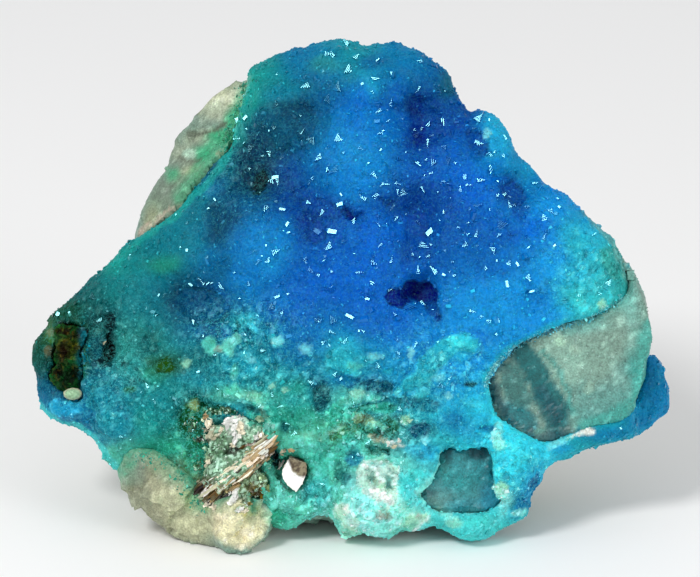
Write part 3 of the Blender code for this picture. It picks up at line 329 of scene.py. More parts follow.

# Firm-edged patches of the crust: colour, strength, how high they stand in millimetres, outline. The dark
# colours of the sunken ones are partly painted shade.
CRUST_PATCHES = [
    ("deep_navy", 1.0, -0.12, [(2.1, 10.6), (2.2, 10.8), (2.5, 10.9), (2.8, 10.8), (3.1, 10.8),
        (3.4, 10.6), (3.6, 10.3), (3.5, 10.0), (3.2, 10.0), (2.8, 10.0), (2.4, 10.1), (2.2, 10.2)]),
    ("deep_navy", 0.96, -0.06, [(1.5, 10.5), (1.7, 10.6), (2.1, 10.6), (2.2, 10.2), (2.5, 10.0),
        (2.2, 9.8), (1.9, 9.7), (1.6, 9.9), (1.4, 10.2)]),
    ("navy", 0.96, -0.05, [(3.0, 10.0), (3.4, 10.0), (3.6, 9.7), (3.7, 9.3), (3.5, 9.2), (3.2, 9.5),
        (3.0, 9.7)]),
    ("deep_navy", 0.96, -0.12, [(-0.3, 13.8), (0.0, 13.7), (0.2, 13.5), (0.5, 13.6), (0.3, 13.3),
        (0.1, 13.2), (-0.2, 13.4)]),
    ("deep_navy", 0.45, -0.03, [(2.4, 18.3), (2.7, 18.4), (3.0, 18.2), (3.0, 17.8), (2.9, 17.4),
        (3.0, 16.9), (3.0, 16.3), (2.6, 16.2), (2.5, 16.6), (2.4, 17.2), (2.4, 17.8)]),
    ("navy", 0.5, -0.03, [(3.1, 17.9), (3.6, 17.6), (4.1, 17.4), (4.4, 17.0), (4.1, 16.5), (3.6, 16.2),
        (3.1, 16.5), (3.0, 17.2)]),
    ("navy", 0.55, -0.03, [(2.2, 13.5), (2.5, 13.9), (2.8, 14.1), (3.0, 13.8), (3.2, 13.2), (3.1, 12.6),
        (2.9, 12.1), (2.6, 11.6), (2.3, 12.1), (2.2, 12.7)]),
    ("dark_petrol", 0.45, -0.03, [(-2.8, 17.8), (-2.3, 17.9), (-1.9, 18.0), (-1.5, 17.8), (-1.3, 17.3),
        (-1.5, 16.7), (-1.8, 16.4), (-2.1, 16.5), (-2.4, 17.0), (-2.7, 17.3)]),
    ("petrol", 0.4, -0.02, [(-1.3, 17.7), (-0.8, 17.6), (-0.7, 17.1), (-0.9, 16.6), (-1.4, 16.2),
        (-1.8, 16.1), (-2.0, 16.2), (-1.8, 16.6), (-1.4, 17.1)]),
    ("black_teal", 0.96, -0.05, [(-3.9, 14.8), (-3.8, 15.2), (-3.5, 15.4), (-3.2, 15.0), (-3.4, 14.6),
        (-3.7, 14.3), (-4.0, 14.5)]),
    ("dark_petrol", 0.72, -0.03, [(-3.7, 16.5), (-3.4, 16.2), (-3.2, 15.8), (-3.4, 15.4), (-3.8, 15.8),
        (-3.8, 16.2)]),
    ("navy", 0.66, -0.04, [(-2.1, 14.1), (-1.5, 14.2), (-0.9, 14.1), (-0.5, 13.8), (-0.2, 13.5),
        (-0.6, 13.3), (-1.3, 13.4), (-1.9, 13.6)]),
    ("navy", 0.78, -0.05, [(-1.7, 13.2), (-1.2, 13.4), (-0.9, 13.0), (-1.0, 12.5), (-1.4, 12.2),
        (-1.7, 12.6)]),
    ("navy", 0.72, -0.04, [(1.1, 14.2), (1.5, 14.2), (1.8, 14.0), (1.4, 13.8)]),
    ("petrol", 0.72, -0.05, [(-6.8, 10.7), (-6.0, 10.6), (-5.4, 10.5), (-5.0, 10.1), (-5.1, 9.6),
        (-5.6, 9.2), (-6.2, 9.0), (-6.6, 9.4), (-6.9, 10.1)]),
    ("lagoon", 0.66, 0.05, [(-5.2, 8.0), (-4.6, 7.8), (-4.2, 8.0), (-3.8, 7.8), (-3.5, 7.4), (-3.8, 7.0),
        (-4.2, 6.9), (-4.7, 7.1), (-5.1, 7.4)]),
    ("turquoise", 0.72, 0.06, [(-4.5, 9.3), (-4.2, 9.4), (-4.0, 9.2), (-3.8, 9.2), (-3.7, 8.8),
        (-3.9, 8.8), (-4.1, 9.0), (-4.4, 9.0)]),
    ("pale_sea", 0.9, 0.08, [(-5.0, 7.9), (-5.2, 8.2), (-4.9, 8.6), (-4.6, 8.7), (-4.4, 8.6), (-4.4, 8.4),
        (-4.6, 8.2), (-4.6, 7.9), (-4.8, 7.8)]),
    ("sea_foam", 0.6, 0.05, [(-6.0, 8.4), (-5.7, 8.6), (-5.4, 8.5), (-5.3, 8.2), (-5.5, 7.9),
        (-5.8, 8.0)]),
    ("sea_foam", 0.66, 0.06, [(-5.0, 6.6), (-4.8, 6.4), (-4.6, 7.0), (-4.7, 7.4), (-4.6, 7.6),
        (-4.6, 7.1), (-4.5, 6.6), (-4.6, 6.4), (-5.0, 6.2)]),
    ("sea_foam", 0.9, 0.1, [(-5.0, 6.5), (-4.6, 6.6), (-4.1, 6.4), (-3.6, 6.3), (-3.4, 6.0), (-3.2, 5.7),
        (-3.6, 5.8), (-4.0, 6.0), (-4.5, 6.2), (-4.9, 6.3)]),
    ("turquoise", 0.84, 0.07, [(-3.2, 8.6), (-3.0, 8.7), (-2.7, 8.5), (-2.8, 8.2), (-3.0, 8.2)]),
    ("turquoise", 0.72, 0.07, [(-2.0, 8.3), (-1.8, 8.4), (-1.5, 8.1), (-1.6, 7.9), (-1.9, 8.1)]),
    ("turquoise", 0.84, 0.08, [(-0.9, 7.4), (-1.0, 7.8), (-0.7, 8.0), (-0.4, 8.1), (-0.1, 8.0),
        (0.1, 7.6), (0.4, 7.2), (0.2, 7.0), (-0.2, 7.2), (-0.6, 7.4)]),
    ("lagoon", 0.72, 0.05, [(-0.6, 8.1), (-0.3, 8.2), (0.0, 8.1), (0.5, 7.8), (1.0, 7.9), (1.1, 7.7),
        (0.6, 7.4), (0.2, 7.6), (-0.2, 7.8)]),
    ("turquoise", 0.84, 0.1, [(2.5, 7.2), (2.7, 7.8), (3.1, 8.1), (3.6, 8.5), (4.1, 8.7), (4.6, 8.8),
        (5.0, 8.6), (5.2, 8.3), (5.0, 8.0), (4.3, 8.0), (3.9, 7.6), (3.5, 7.3), (3.2, 6.9), (2.8, 6.6),
        (2.2, 6.4), (1.7, 6.3), (2.0, 6.8)]),
    ("bright_cyan", 0.6, 0.04, [(3.8, 8.6), (4.3, 8.7), (4.8, 8.6), (5.0, 8.2), (4.4, 8.1), (4.0, 8.2)]),
    ("bright_turquoise", 0.48, 0.04, [(2.6, 6.6), (3.0, 6.9), (3.3, 6.7), (3.1, 6.3), (2.8, 6.1),
        (2.5, 6.2)]),
    ("slate_teal", 1.0, -0.12, [(-1.4, 6.6), (-1.1, 6.8), (-0.8, 6.6), (-0.8, 6.2), (-1.0, 5.8),
        (-1.3, 5.6), (-1.5, 6.1)]),
    ("petrol", 0.9, -0.08, [(0.4, 6.8), (0.9, 6.9), (1.4, 6.8), (1.8, 6.7), (1.7, 6.4), (1.2, 6.3),
        (0.7, 6.4)]),
    ("ocean", 0.72, -0.05, [(-0.6, 7.1), (-0.1, 7.1), (0.4, 7.0), (0.2, 6.6), (-0.2, 6.6), (-0.6, 6.8)]),
    ("petrol", 0.6, -0.05, [(2.2, 6.2), (2.6, 6.2), (3.2, 6.1), (3.6, 5.9), (3.4, 5.6), (2.7, 5.6),
        (2.2, 5.8)]),
    ("sea_foam", 0.9, 0.1, [(-0.4, 6.2), (0.0, 6.4), (0.4, 6.5), (0.8, 6.3), (1.3, 6.2), (1.0, 6.0),
        (0.6, 6.1), (0.1, 5.9), (-0.2, 5.9)]),
    ("sea_green", 0.72, 0.04, [(-1.0, 5.6), (-0.6, 6.0), (0.0, 5.8), (0.6, 5.9), (1.3, 6.0), (1.9, 5.8),
        (1.6, 5.5), (0.8, 5.6), (0.0, 5.4), (-0.8, 5.1)]),
    ("leaf", 0.72, 0.04, [(-0.0, 5.5), (0.4, 5.6), (0.9, 5.4), (1.1, 5.2), (0.6, 5.1), (0.2, 5.2)]),
    ("moss", 0.84, -0.04, [(-0.9, 4.6), (-0.7, 4.9), (-0.4, 5.0), (-0.1, 4.9), (-0.4, 4.6), (-0.7, 4.4)]),
    ("deep_forest", 0.72, -0.06, [(0.4, 5.0), (0.8, 5.0), (1.3, 4.8), (1.0, 4.6), (0.6, 4.7)]),
    ("deep_forest", 0.72, -0.05, [(1.3, 5.2), (1.7, 5.3), (2.0, 5.1), (1.9, 4.8), (1.6, 4.8)]),
    ("pale_green", 0.72, 0.06, [(2.1, 5.4), (2.4, 5.6), (2.4, 5.2), (2.2, 5.0), (2.0, 5.2)]),
    ("sand", 0.78, 0.05, [(0.7, 4.6), (1.0, 4.7), (1.5, 4.6), (1.7, 4.4), (1.4, 4.3), (1.0, 4.4)]),
    ("walnut", 0.72, -0.02, [(0.9, 4.6), (1.2, 4.7), (1.4, 4.6), (1.2, 4.5)]),
    ("pale_grey", 1.0, 0.08, [(1.4, 4.4), (1.7, 4.5), (2.0, 4.4), (2.2, 4.2), (1.8, 4.1), (1.5, 4.2)]),
    ("dark_teal", 0.9, -0.1, [(0.7, 4.2), (1.0, 4.3), (1.4, 4.1), (1.6, 4.2), (1.6, 3.8), (1.2, 3.9),
        (0.8, 4.0)]),
    ("sea_foam", 0.72, 0.06, [(0.4, 4.0), (0.7, 4.0), (1.1, 3.8), (1.5, 3.8), (1.7, 3.6), (1.1, 3.6),
        (0.6, 3.7)]),
    ("ocean", 0.72, -0.06, [(-0.0, 4.0), (0.3, 4.0), (0.6, 3.8), (0.4, 3.5), (0.0, 3.4), (-0.2, 3.6)]),
    ("dark_teal", 0.7, -0.1, [(-0.6, 3.5), (-0.4, 3.6), (-0.2, 3.3), (-0.2, 2.9), (-0.5, 2.8),
        (-0.6, 3.1)]),
    ("petrol", 1.0, -0.12, [(2.4, 4.9), (2.6, 5.1), (3.0, 5.2), (3.2, 5.0), (3.1, 4.6), (2.8, 4.5),
        (2.5, 4.6)]),
    ("pale_cyan", 0.96, 0.08, [(2.8, 4.5), (3.0, 4.6), (3.2, 4.5), (3.0, 4.3)]),
    ("ocean", 0.84, -0.06, [(5.0, 5.0), (5.4, 5.1), (5.7, 5.1), (5.9, 5.2), (5.8, 4.9), (5.4, 4.8)]),
    ("pale_aqua", 0.84, 0.05, [(5.6, 4.6), (5.8, 4.9), (6.0, 4.7), (6.2, 4.2), (6.0, 4.0), (5.8, 4.2)]),
    ("bright_turquoise", 0.9, 0.06, [(1.9, 3.1), (2.4, 3.3), (3.0, 3.3), (3.3, 3.1), (3.2, 2.7),
        (2.9, 2.5), (2.6, 2.4), (3.0, 1.9), (2.4, 1.8), (2.1, 2.2), (1.9, 2.6)]),
    ("pale_aqua", 0.9, 0.06, [(0.1, 2.1), (0.2, 2.6), (0.5, 2.6), (0.9, 2.2), (1.5, 1.9), (1.8, 1.6),
        (2.0, 1.1), (1.6, 0.7), (1.0, 0.6), (0.5, 0.9), (0.2, 1.3), (0.0, 1.7)]),
    ("pale_grey", 0.9, 0.06, [(0.4, 3.4), (0.6, 3.6), (1.1, 3.4), (1.6, 3.5), (2.0, 3.4), (1.9, 2.9),
        (1.9, 2.5), (2.0, 2.0), (2.3, 1.6), (2.0, 1.5), (1.6, 2.0), (1.1, 2.0), (0.7, 2.3), (0.4, 2.6)]),
    ("grey_teal", 0.85, -0.04, [(0.5, 3.4), (0.6, 3.4), (0.8, 3.3), (0.7, 3.2), (0.6, 3.2)]),
    ("grey_teal", 0.9, -0.04, [(0.7, 3.1), (0.9, 3.2), (1.0, 2.9), (0.8, 2.8), (0.7, 3.0)]),
    ("smoke_teal", 0.8, -0.04, [(1.5, 3.3), (1.7, 3.4), (1.9, 3.2), (1.8, 3.1), (1.6, 3.2)]),
    ("grey_teal", 0.9, -0.04, [(1.4, 3.1), (1.6, 3.1), (1.7, 2.9), (1.5, 2.8)]),
    ("sea_teal", 0.7, -0.04, [(1.4, 2.7), (1.6, 2.8), (1.8, 2.7), (1.6, 2.5), (1.4, 2.5)]),
    ("smoky_green", 0.6, 0.0, [(0.9, 3.0), (1.2, 3.0), (1.4, 2.7), (1.4, 2.3), (1.2, 2.5), (0.9, 2.6)]),
    ("ice", 0.9, 0.04, [(0.8, 2.5), (1.1, 2.6), (1.4, 2.4), (1.6, 2.4), (1.7, 2.1), (1.9, 1.8),
        (1.7, 1.8), (1.4, 2.1), (1.0, 2.1)]),
    ("mint", 0.84, 0.05, [(2.2, 1.2), (2.3, 1.5), (2.8, 1.6), (3.2, 1.5), (3.2, 1.2), (2.7, 0.9),
        (2.4, 0.8)]),
    ("pale_mint", 0.96, 0.05, [(-0.7, 1.7), (-0.4, 2.0), (0.0, 1.9), (0.0, 1.6), (-0.2, 1.3),
        (-0.6, 1.4)]),
    ("mint", 0.84, 0.04, [(-0.3, 1.3), (0.0, 1.4), (0.3, 1.2), (0.4, 0.7), (-0.1, 0.6), (-0.4, 0.9)]),
    ("umber", 0.66, -0.04, [(1.4, 1.4), (1.5, 1.6), (1.7, 1.5), (1.6, 1.3)]),
    ("sand", 0.6, 0.03, [(1.0, 1.5), (1.2, 1.6), (1.4, 1.5), (1.2, 1.3)]),
    ("pale_green", 0.96, 0.07, [(5.8, 2.7), (6.1, 2.8), (6.3, 2.6), (6.3, 2.2), (6.0, 2.2), (5.8, 2.4)]),
    ("ocean", 0.96, -0.05, [(6.6, 2.1), (6.8, 2.2), (7.1, 2.2), (7.2, 1.7), (7.0, 1.4), (6.7, 1.7)]),
    ("deep_ocean", 0.96, -0.05, [(7.1, 2.5), (7.2, 2.8), (7.5, 3.2), (7.6, 3.0), (7.4, 2.6)]),
    ("sea_green", 0.7, -0.05, [(-3.1, 1.6), (-2.9, 1.8), (-2.4, 1.5), (-2.2, 1.2), (-2.6, 1.0),
        (-3.1, 1.1)]),
    ("sea_foam", 0.72, 0.05, [(-2.7, 4.6), (-2.3, 4.8), (-1.8, 4.6), (-1.4, 4.5), (-1.1, 4.1),
        (-1.5, 3.8), (-2.1, 4.0), (-2.6, 4.2)]),
    ("black_teal", 1.0, -0.12, [(-3.1, 4.0), (-2.9, 4.1), (-2.8, 3.9), (-2.9, 3.5), (-3.0, 3.4),
        (-3.2, 3.7)]),
    ("dark_teal", 0.96, -0.08, [(-2.8, 5.1), (-2.6, 5.2), (-2.4, 5.0), (-2.6, 4.8), (-2.8, 4.9)]),
    ("sea_foam", 0.84, 0.06, [(-3.5, 5.1), (-3.2, 5.3), (-2.8, 5.1), (-2.8, 4.7), (-3.0, 4.4),
        (-3.3, 4.6), (-3.4, 4.8)]),
    ("sea_green", 0.72, 0.04, [(-4.2, 5.6), (-3.8, 5.6), (-3.5, 5.4), (-3.7, 5.2), (-4.0, 5.3)]),
    ("pale_sea", 0.78, 0.05, [(-3.0, 2.8), (-2.7, 2.9), (-2.5, 2.4), (-2.2, 2.0), (-2.3, 1.7),
        (-2.7, 1.6), (-2.9, 2.1)]),
    ("deep_forest", 0.84, -0.06, [(-6.7, 5.9), (-6.2, 6.2), (-5.7, 5.9), (-5.8, 5.4), (-6.1, 4.9),
        (-6.5, 4.5), (-6.8, 4.9), (-6.9, 5.5)]),
    ("deep_forest", 0.96, -0.06, [(-5.8, 5.7), (-5.3, 5.9), (-4.8, 5.8), (-4.4, 5.6), (-4.7, 5.5),
        (-5.2, 5.6), (-5.6, 5.5)]),
    ("dark_teal", 0.72, -0.05, [(-4.2, 5.8), (-3.8, 5.8), (-3.4, 5.6), (-3.2, 5.3), (-3.5, 5.4),
        (-4.0, 5.6)]),
    ("leaf", 0.72, 0.04, [(-6.5, 5.9), (-6.2, 6.1), (-6.0, 5.9), (-6.1, 5.6), (-6.4, 5.7)]),
    ("grain_green", 0.72, 0.03, [(-6.7, 2.7), (-6.3, 2.9), (-6.0, 2.7), (-5.8, 2.3), (-6.0, 2.0),
        (-6.4, 2.2)]),
    ("black", 0.96, -0.1, [(-9.8, 9.4), (-9.6, 9.6), (-9.4, 9.4), (-9.5, 8.9), (-9.6, 8.5), (-9.4, 8.1),
        (-9.5, 7.7), (-9.8, 7.5), (-10.0, 7.9), (-9.8, 8.4), (-9.8, 8.9)]),
    ("olive", 0.9, -0.04, [(-7.8, 7.6), (-7.4, 7.8), (-7.1, 7.6), (-7.0, 7.3), (-7.3, 7.2), (-7.7, 7.2)]),
    ("dark_teal", 0.84, -0.04, [(-8.4, 8.6), (-8.0, 8.7), (-7.6, 8.4), (-7.7, 8.0), (-8.1, 7.9),
        (-8.4, 8.2)]),
    ("teal", 0.72, 0.04, [(-10.6, 6.3), (-10.1, 6.6), (-9.5, 6.4), (-9.2, 6.1), (-9.5, 5.7), (-10.2, 5.6),
        (-10.6, 5.8)]),
    ("teal", 0.84, 0.05, [(-10.2, 5.5), (-9.6, 5.7), (-8.9, 5.5), (-8.6, 5.0), (-9.0, 4.6), (-9.6, 4.6),
        (-10.1, 5.0)]),
    ("cyan", 0.6, 0.04, [(-12.2, 5.9), (-11.8, 6.1), (-11.0, 5.9), (-10.8, 5.6), (-11.4, 5.4),
        (-12.0, 5.5)]),
    ("turquoise", 0.72, 0.05, [(9.1, 10.6), (9.7, 10.8), (10.3, 10.6), (10.6, 10.2), (10.2, 9.8),
        (9.5, 9.8), (9.0, 10.1)]),
    ("navy", 0.84, -0.06, [(6.0, 14.7), (6.5, 14.9), (6.9, 14.6), (7.1, 14.2), (6.9, 13.7), (6.6, 13.9),
        (6.2, 14.2)]),
    ("navy", 0.72, -0.05, [(4.6, 16.8), (5.0, 16.9), (5.5, 16.5), (5.6, 16.0), (5.2, 15.8), (4.8, 16.2)]),
    ("sea_teal", 0.72, 0.03, [(10.0, 12.1), (10.5, 12.2), (10.9, 11.6), (11.0, 11.0), (10.6, 10.8),
        (10.2, 11.4)]),
]

# Where the crust is crumbly, with pale grains: x, y, reach across, reach up, strength
CRUMBLY = [
    (-3.8, 6.8, 4.2, 2.4, 0.6), (0.8, 5.0, 3.4, 2.4, 1.0), (-6.0, 5.0, 2.0, 2.4, 0.8),
    (-1.6, 2.2, 2.0, 1.4, 1.0), (-4.4, 8.8, 2.4, 1.2, 0.9), (1.2, 2.0, 2.8, 1.8, 0.8),
    (5.8, 2.8, 2.6, 2.6, 0.7), (-9.6, 7.0, 2.8, 3.0, 0.55), (3.6, 7.2, 2.8, 1.8, 0.6),
    (9.6, 11.0, 2.0, 2.4, 0.5), (-5.0, 16.0, 2.0, 3.0, 0.25),
]

# The quartz's stains and facets, and the dark bands and rims across it, given as the crust's are. The dark
# pools along the window's top edge and the dark lines under the ledges are painted shade.
QUARTZ_WASHES = [
    (9.0, 7.7, 2.0, 1.6, "pale_frost", 0.95), (10.0, 8.9, 1.6, 0.8, "frost", 0.7),
    (8.4, 8.5, 0.4, 0.32, "mint_frost", 0.6), (11.6, 7.1, 0.56, 1.36, "sea_teal", 0.8),
    (10.9, 6.0, 0.96, 0.56, "sea_teal", 0.6), (10.1, 5.4, 1.2, 0.48, "lagoon_green", 0.6),
    (9.9, 6.0, 1.2, 0.96, "sea_frost", 0.8), (6.8, 5.4, 0.72, 0.64, "pool", 0.8),
    (11.0, 7.0, 0.56, 0.8, "sea_frost", 0.6), (8.9, 5.4, 0.48, 0.48, "grey_teal", 0.5),
    (8.4, 4.8, 0.56, 0.4, "slate_teal", 0.7), (11.6, 9.3, 0.56, 1.2, "grey_teal", 0.6),
    (9.6, 9.4, 0.96, 0.32, "sea_teal", 0.5), (10.8, 10.1, 0.8, 0.56, "sea_teal", 0.6),
    (9.8, 7.3, 0.48, 0.72, "frost", 0.6), (9.2, 9.0, 1.28, 0.32, "pale_teal", 0.8),
    (11.7, 6.6, 0.48, 1.04, "bright_sea", 0.8), (11.3, 10.7, 0.48, 1.6, "pale_teal", 0.7),
    # The dark pools at the window's top edge are painted shade under the crust
    (4.5, 2.9, 2.4, 2.08, "window", 1.0), (3.9, 3.9, 0.32, 0.36, "dark_pool", 0.95),
    (5.2, 4.0, 0.44, 0.28, "dark_pool", 0.95), (5.6, 2.7, 0.36, 1.2, "petrol_pool", 0.6),
    (4.3, 2.8, 0.72, 0.56, "sea_teal", 0.3), (4.8, 1.8, 1.04, 0.24, "lagoon", 0.5),
    (5.7, 2.0, 0.52, 0.56, "lagoon_blue", 0.8), (3.0, 2.3, 0.4, 0.2, "slate_teal", 0.7),
    (3.8, 3.3, 0.24, 0.56, "sea_teal", 0.4), (-7.2, 2.5, 2.4, 2.4, "dull_clay", 1.0),
    (-6.5, 1.8, 1.76, 1.04, "pale_clay", 0.85), (-8.6, 3.8, 0.56, 0.96, "rock_grey", 0.9),
    (-8.9, 4.2, 0.4, 0.4, "dark_rock", 0.5), (-7.6, 3.5, 0.64, 0.48, "smoky_green", 0.7),
    (-7.0, 3.0, 0.72, 0.48, "smoky_green", 0.7), (-8.0, 1.5, 0.56, 0.56, "clay_dark", 0.5),
    (-6.1, 2.1, 0.64, 0.36, "yellow_green", 0.7), (-6.4, 2.7, 0.4, 0.48, "leaf", 0.7),
    (-6.8, 4.1, 0.64, 0.48, "sea_green", 0.5), (-6.2, 1.0, 0.8, 0.48, "wheat", 0.8),
    (-8.4, 2.1, 0.4, 0.48, "smoke", 0.5), (-6.9, 15.3, 2.4, 2.4, "rock_grey", 0.8),
    (-5.1, 18.2, 1.2, 0.8, "beige_green", 1.0), (-5.4, 17.8, 0.56, 0.4, "pale_grey_green", 0.9),
    (-6.0, 17.9, 0.32, 0.64, "pale_grey_green", 0.5), (-4.4, 18.1, 0.36, 0.56, "mint", 0.7),
    (-4.6, 17.4, 0.4, 0.48, "copper_green", 0.7), (-6.0, 16.7, 0.72, 0.36, "pale_grey_green", 0.9),
    (-6.8, 16.1, 0.56, 0.4, "pale_grey_green", 0.7), (-5.4, 16.6, 0.48, 0.36, "copper_green", 0.95),
    (-4.8, 16.8, 0.32, 0.36, "copper_green", 0.9), (-5.9, 16.0, 0.48, 0.32, "copper_green", 0.9),
    (-7.3, 15.2, 0.36, 0.32, "copper_green", 0.8), (-6.6, 15.0, 0.72, 0.64, "smoky_green", 0.6),
    (-7.6, 13.9, 0.56, 0.56, "smoky_green", 0.6), (-6.5, 15.4, 0.48, 0.24, "sand_green", 0.7),
    (-7.4, 14.3, 0.64, 0.64, "rock_grey", 0.7), (-6.6, 14.5, 0.48, 0.56, "rock_grey", 0.9),
    (-8.0, 13.4, 0.48, 0.56, "sand_green", 0.8),
]
QUARTZ_MARKS = [
    (-4.4, 1.12, 1.12, 0.96, "straw", 0.95), (-4.72, 1.6, 0.64, 0.24, "wheat", 0.6),
    (-4.0, 1.68, 0.52, 0.28, "olive_straw", 1.0), (-4.08, 0.72, 0.32, 0.24, "cream", 0.7),
    (-5.12, 1.4, 0.24, 0.16, "cream", 0.6), (-4.24, 0.2, 0.4, 0.16, "cream", 0.6),
    (-3.92, 1.28, 0.24, 0.16, "sage", 0.4), (-3.52, 1.36, 0.2, 0.48, "sand", 0.5),
    (-5.36, 0.96, 0.12, 0.56, "sand", 0.5), (-3.2, 1.52, 0.16, 0.48, "mint", 0.8),
    (-5.84, 1.76, 0.24, 0.16, "yellow_green", 0.7), (-5.8, 2.08, 0.28, 0.16, "yellow_green", 0.6),
    (-6.08, 2.2, 0.32, 0.24, "light_leaf", 0.7), (-6.56, 16.0, 0.32, 0.2, "mint_frost", 0.9),
    (-5.2, 15.96, 0.32, 0.2, "sand_green", 0.7), (8.44, 8.44, 0.24, 0.2, "mint", 0.4),
    (9.04, 8.08, 0.24, 0.16, "mint_frost", 0.5), (10.56, 8.0, 0.28, 0.2, "frost", 0.6),
    (9.6, 6.56, 0.24, 0.32, "mint_frost", 0.4), (7.6, 4.8, 0.24, 0.16, "grey_teal", 0.8),
]
QUARTZ_STROKES = [
    ("bright_sea", 0.36, 0.75, [(12.0, 8.9), (12.0, 7.4), (11.5, 5.9), (10.5, 5.3), (9.4, 4.9)]),
    ("copper_green", 0.32, 0.6, [(-4.3, 18.4), (-4.6, 17.6), (-5.0, 16.8), (-5.5, 16.1), (-6.2, 15.2),
        (-6.9, 14.2)]),
    ("slate_teal", 0.2, 0.6, [(7.2, 4.8), (7.9, 4.5), (8.5, 4.6)]),
    ("sea_teal", 0.1, 0.6, [(7.8, 8.0), (8.4, 7.2), (8.8, 6.3), (9.0, 5.5)]),
    # Dark lines under the ledges, painted shade
    ("rock_dark", 0.1, 0.85, [(-6.5, 16.8), (-6.0, 16.8), (-5.5, 17.0), (-5.1, 17.2)]),
    ("rock_dark", 0.08, 0.7, [(-7.0, 15.8), (-6.4, 15.7), (-6.0, 15.7)]),
    ("pink_beige", 0.14, 0.8, [(-6.9, 13.9), (-7.4, 13.5), (-7.9, 13.2), (-8.5, 12.8)]),
    ("clay_dark", 0.06, 0.6, [(-5.8, 1.7), (-5.4, 0.9), (-4.9, 0.1)]),
    ("sand_green", 0.12, 0.5, [(-6.2, 17.7), (-5.8, 18.2), (-5.1, 18.6), (-4.5, 19.0)]),
]
QUARTZ_PATCHES = [
    ("smoke_teal", 0.9, 0.0, [(6.0, 7.2), (6.3, 7.7), (6.8, 7.4), (7.2, 6.6), (7.4, 6.0), (7.1, 5.7),
        (6.6, 5.9), (6.2, 6.2)]),
    ("pool", 0.9, 0.0, [(6.2, 6.1), (6.6, 5.8), (7.3, 5.6), (7.6, 5.1), (7.4, 4.7), (7.0, 4.9),
        (6.5, 5.3)]),
    ("deep_slate", 0.95, 0.0, [(6.4, 8.2), (6.9, 8.4), (7.4, 8.1), (7.8, 7.6), (8.1, 7.0), (8.5, 6.4),
        (8.8, 5.8), (8.8, 5.1), (8.4, 4.7), (7.9, 4.9), (7.6, 5.6), (7.3, 6.3), (7.0, 7.0), (6.6, 7.6)]),
    ("slate_pool", 0.9, 0.0, [(7.5, 6.7), (7.9, 6.6), (8.3, 6.0), (8.6, 5.5), (8.4, 5.0), (8.1, 5.0),
        (7.8, 5.7), (7.5, 6.2)]),
    ("dark_pool", 0.9, 0.0, [(5.4, 6.9), (5.7, 7.2), (5.9, 6.7), (6.1, 6.1), (6.5, 5.4), (7.0, 5.0),
        (6.9, 4.8), (6.3, 5.2), (5.8, 5.7), (5.5, 6.3)]),
    # The last two dark pools, at the window's top edge, are painted shade under the crust
    ("dark_pool", 0.85, 0.0, [(3.6, 4.2), (3.8, 4.3), (4.1, 4.2), (4.1, 3.8), (3.9, 3.6), (3.7, 3.8)]),
    ("dark_pool", 0.85, 0.0, [(4.7, 4.1), (4.9, 4.3), (5.4, 4.3), (5.5, 4.0), (5.4, 3.7), (5.0, 3.7)]),
]

# The ground about the mica and the limonite: x, y, reach across, reach up, colour, strength
MICA_ZONES = [
    (-5.68, 4.96, 0.28, 0.44, "cream", 0.9), (-6.0, 4.48, 0.36, 0.2, "dark_brown", 0.95),
    (-4.56, 5.2, 0.48, 0.48, "white", 0.9), (-5.12, 4.72, 0.24, 0.32, "grey_green", 0.7),
    (-3.68, 5.2, 0.56, 0.32, "sea_foam", 0.9), (-3.68, 4.72, 0.36, 0.32, "mint", 0.9),
    (-4.68, 4.08, 0.36, 0.24, "dark_brown", 0.95), (-5.44, 4.08, 0.4, 0.36, "grey_green", 0.9),
    (-5.36, 3.52, 0.36, 0.32, "mint", 0.8), (-5.68, 3.6, 0.24, 0.28, "sand_green", 0.7),
    (-5.76, 2.72, 0.4, 0.36, "walnut", 0.9), (-6.08, 2.56, 0.24, 0.28, "sand", 0.7),
    (-4.96, 2.48, 0.48, 0.32, "tan", 0.7), (-3.68, 3.12, 0.48, 0.32, "grain_green", 0.9),
    (-3.28, 3.6, 0.24, 0.32, "sea_foam", 0.8), (-4.12, 2.72, 0.24, 0.32, "sage", 0.9),
    (-3.76, 2.36, 0.48, 0.48, "gold", 0.95), (-3.76, 2.36, 0.2, 0.24, "dark_brown", 0.8),
    (-4.16, 2.0, 0.32, 0.24, "limonite_olive", 0.7), (-3.52, 2.88, 0.28, 0.28, "leaf", 0.8),
    (-5.68, 2.0, 0.36, 0.2, "cream", 0.8), (-4.32, 1.72, 0.28, 0.16, "cream", 0.9),
    (-6.12, 3.48, 0.28, 0.48, "moss", 0.7), (-5.44, 5.6, 0.4, 0.16, "deep_forest", 0.9),
    (-4.96, 5.68, 0.24, 0.16, "forest", 0.9), (-6.32, 5.04, 0.32, 0.48, "forest", 0.6),
]
LIMONITE_ZONES = [
    (-11.52, 8.84, 0.44, 0.28, "earth", 1.0), (-10.92, 8.8, 0.32, 0.24, "earth", 0.95),
    (-11.2, 8.24, 0.36, 0.4, "limonite_olive", 0.95), (-11.52, 7.92, 0.32, 0.48, "earth", 1.0),
    (-10.72, 7.92, 0.28, 0.72, "dark_teal", 0.85), (-11.12, 7.12, 0.32, 0.36, "limonite_black", 0.9),
    (-11.72, 7.12, 0.32, 0.4, "limonite_black", 1.0), (-11.36, 6.68, 0.28, 0.28, "black", 0.9),
]

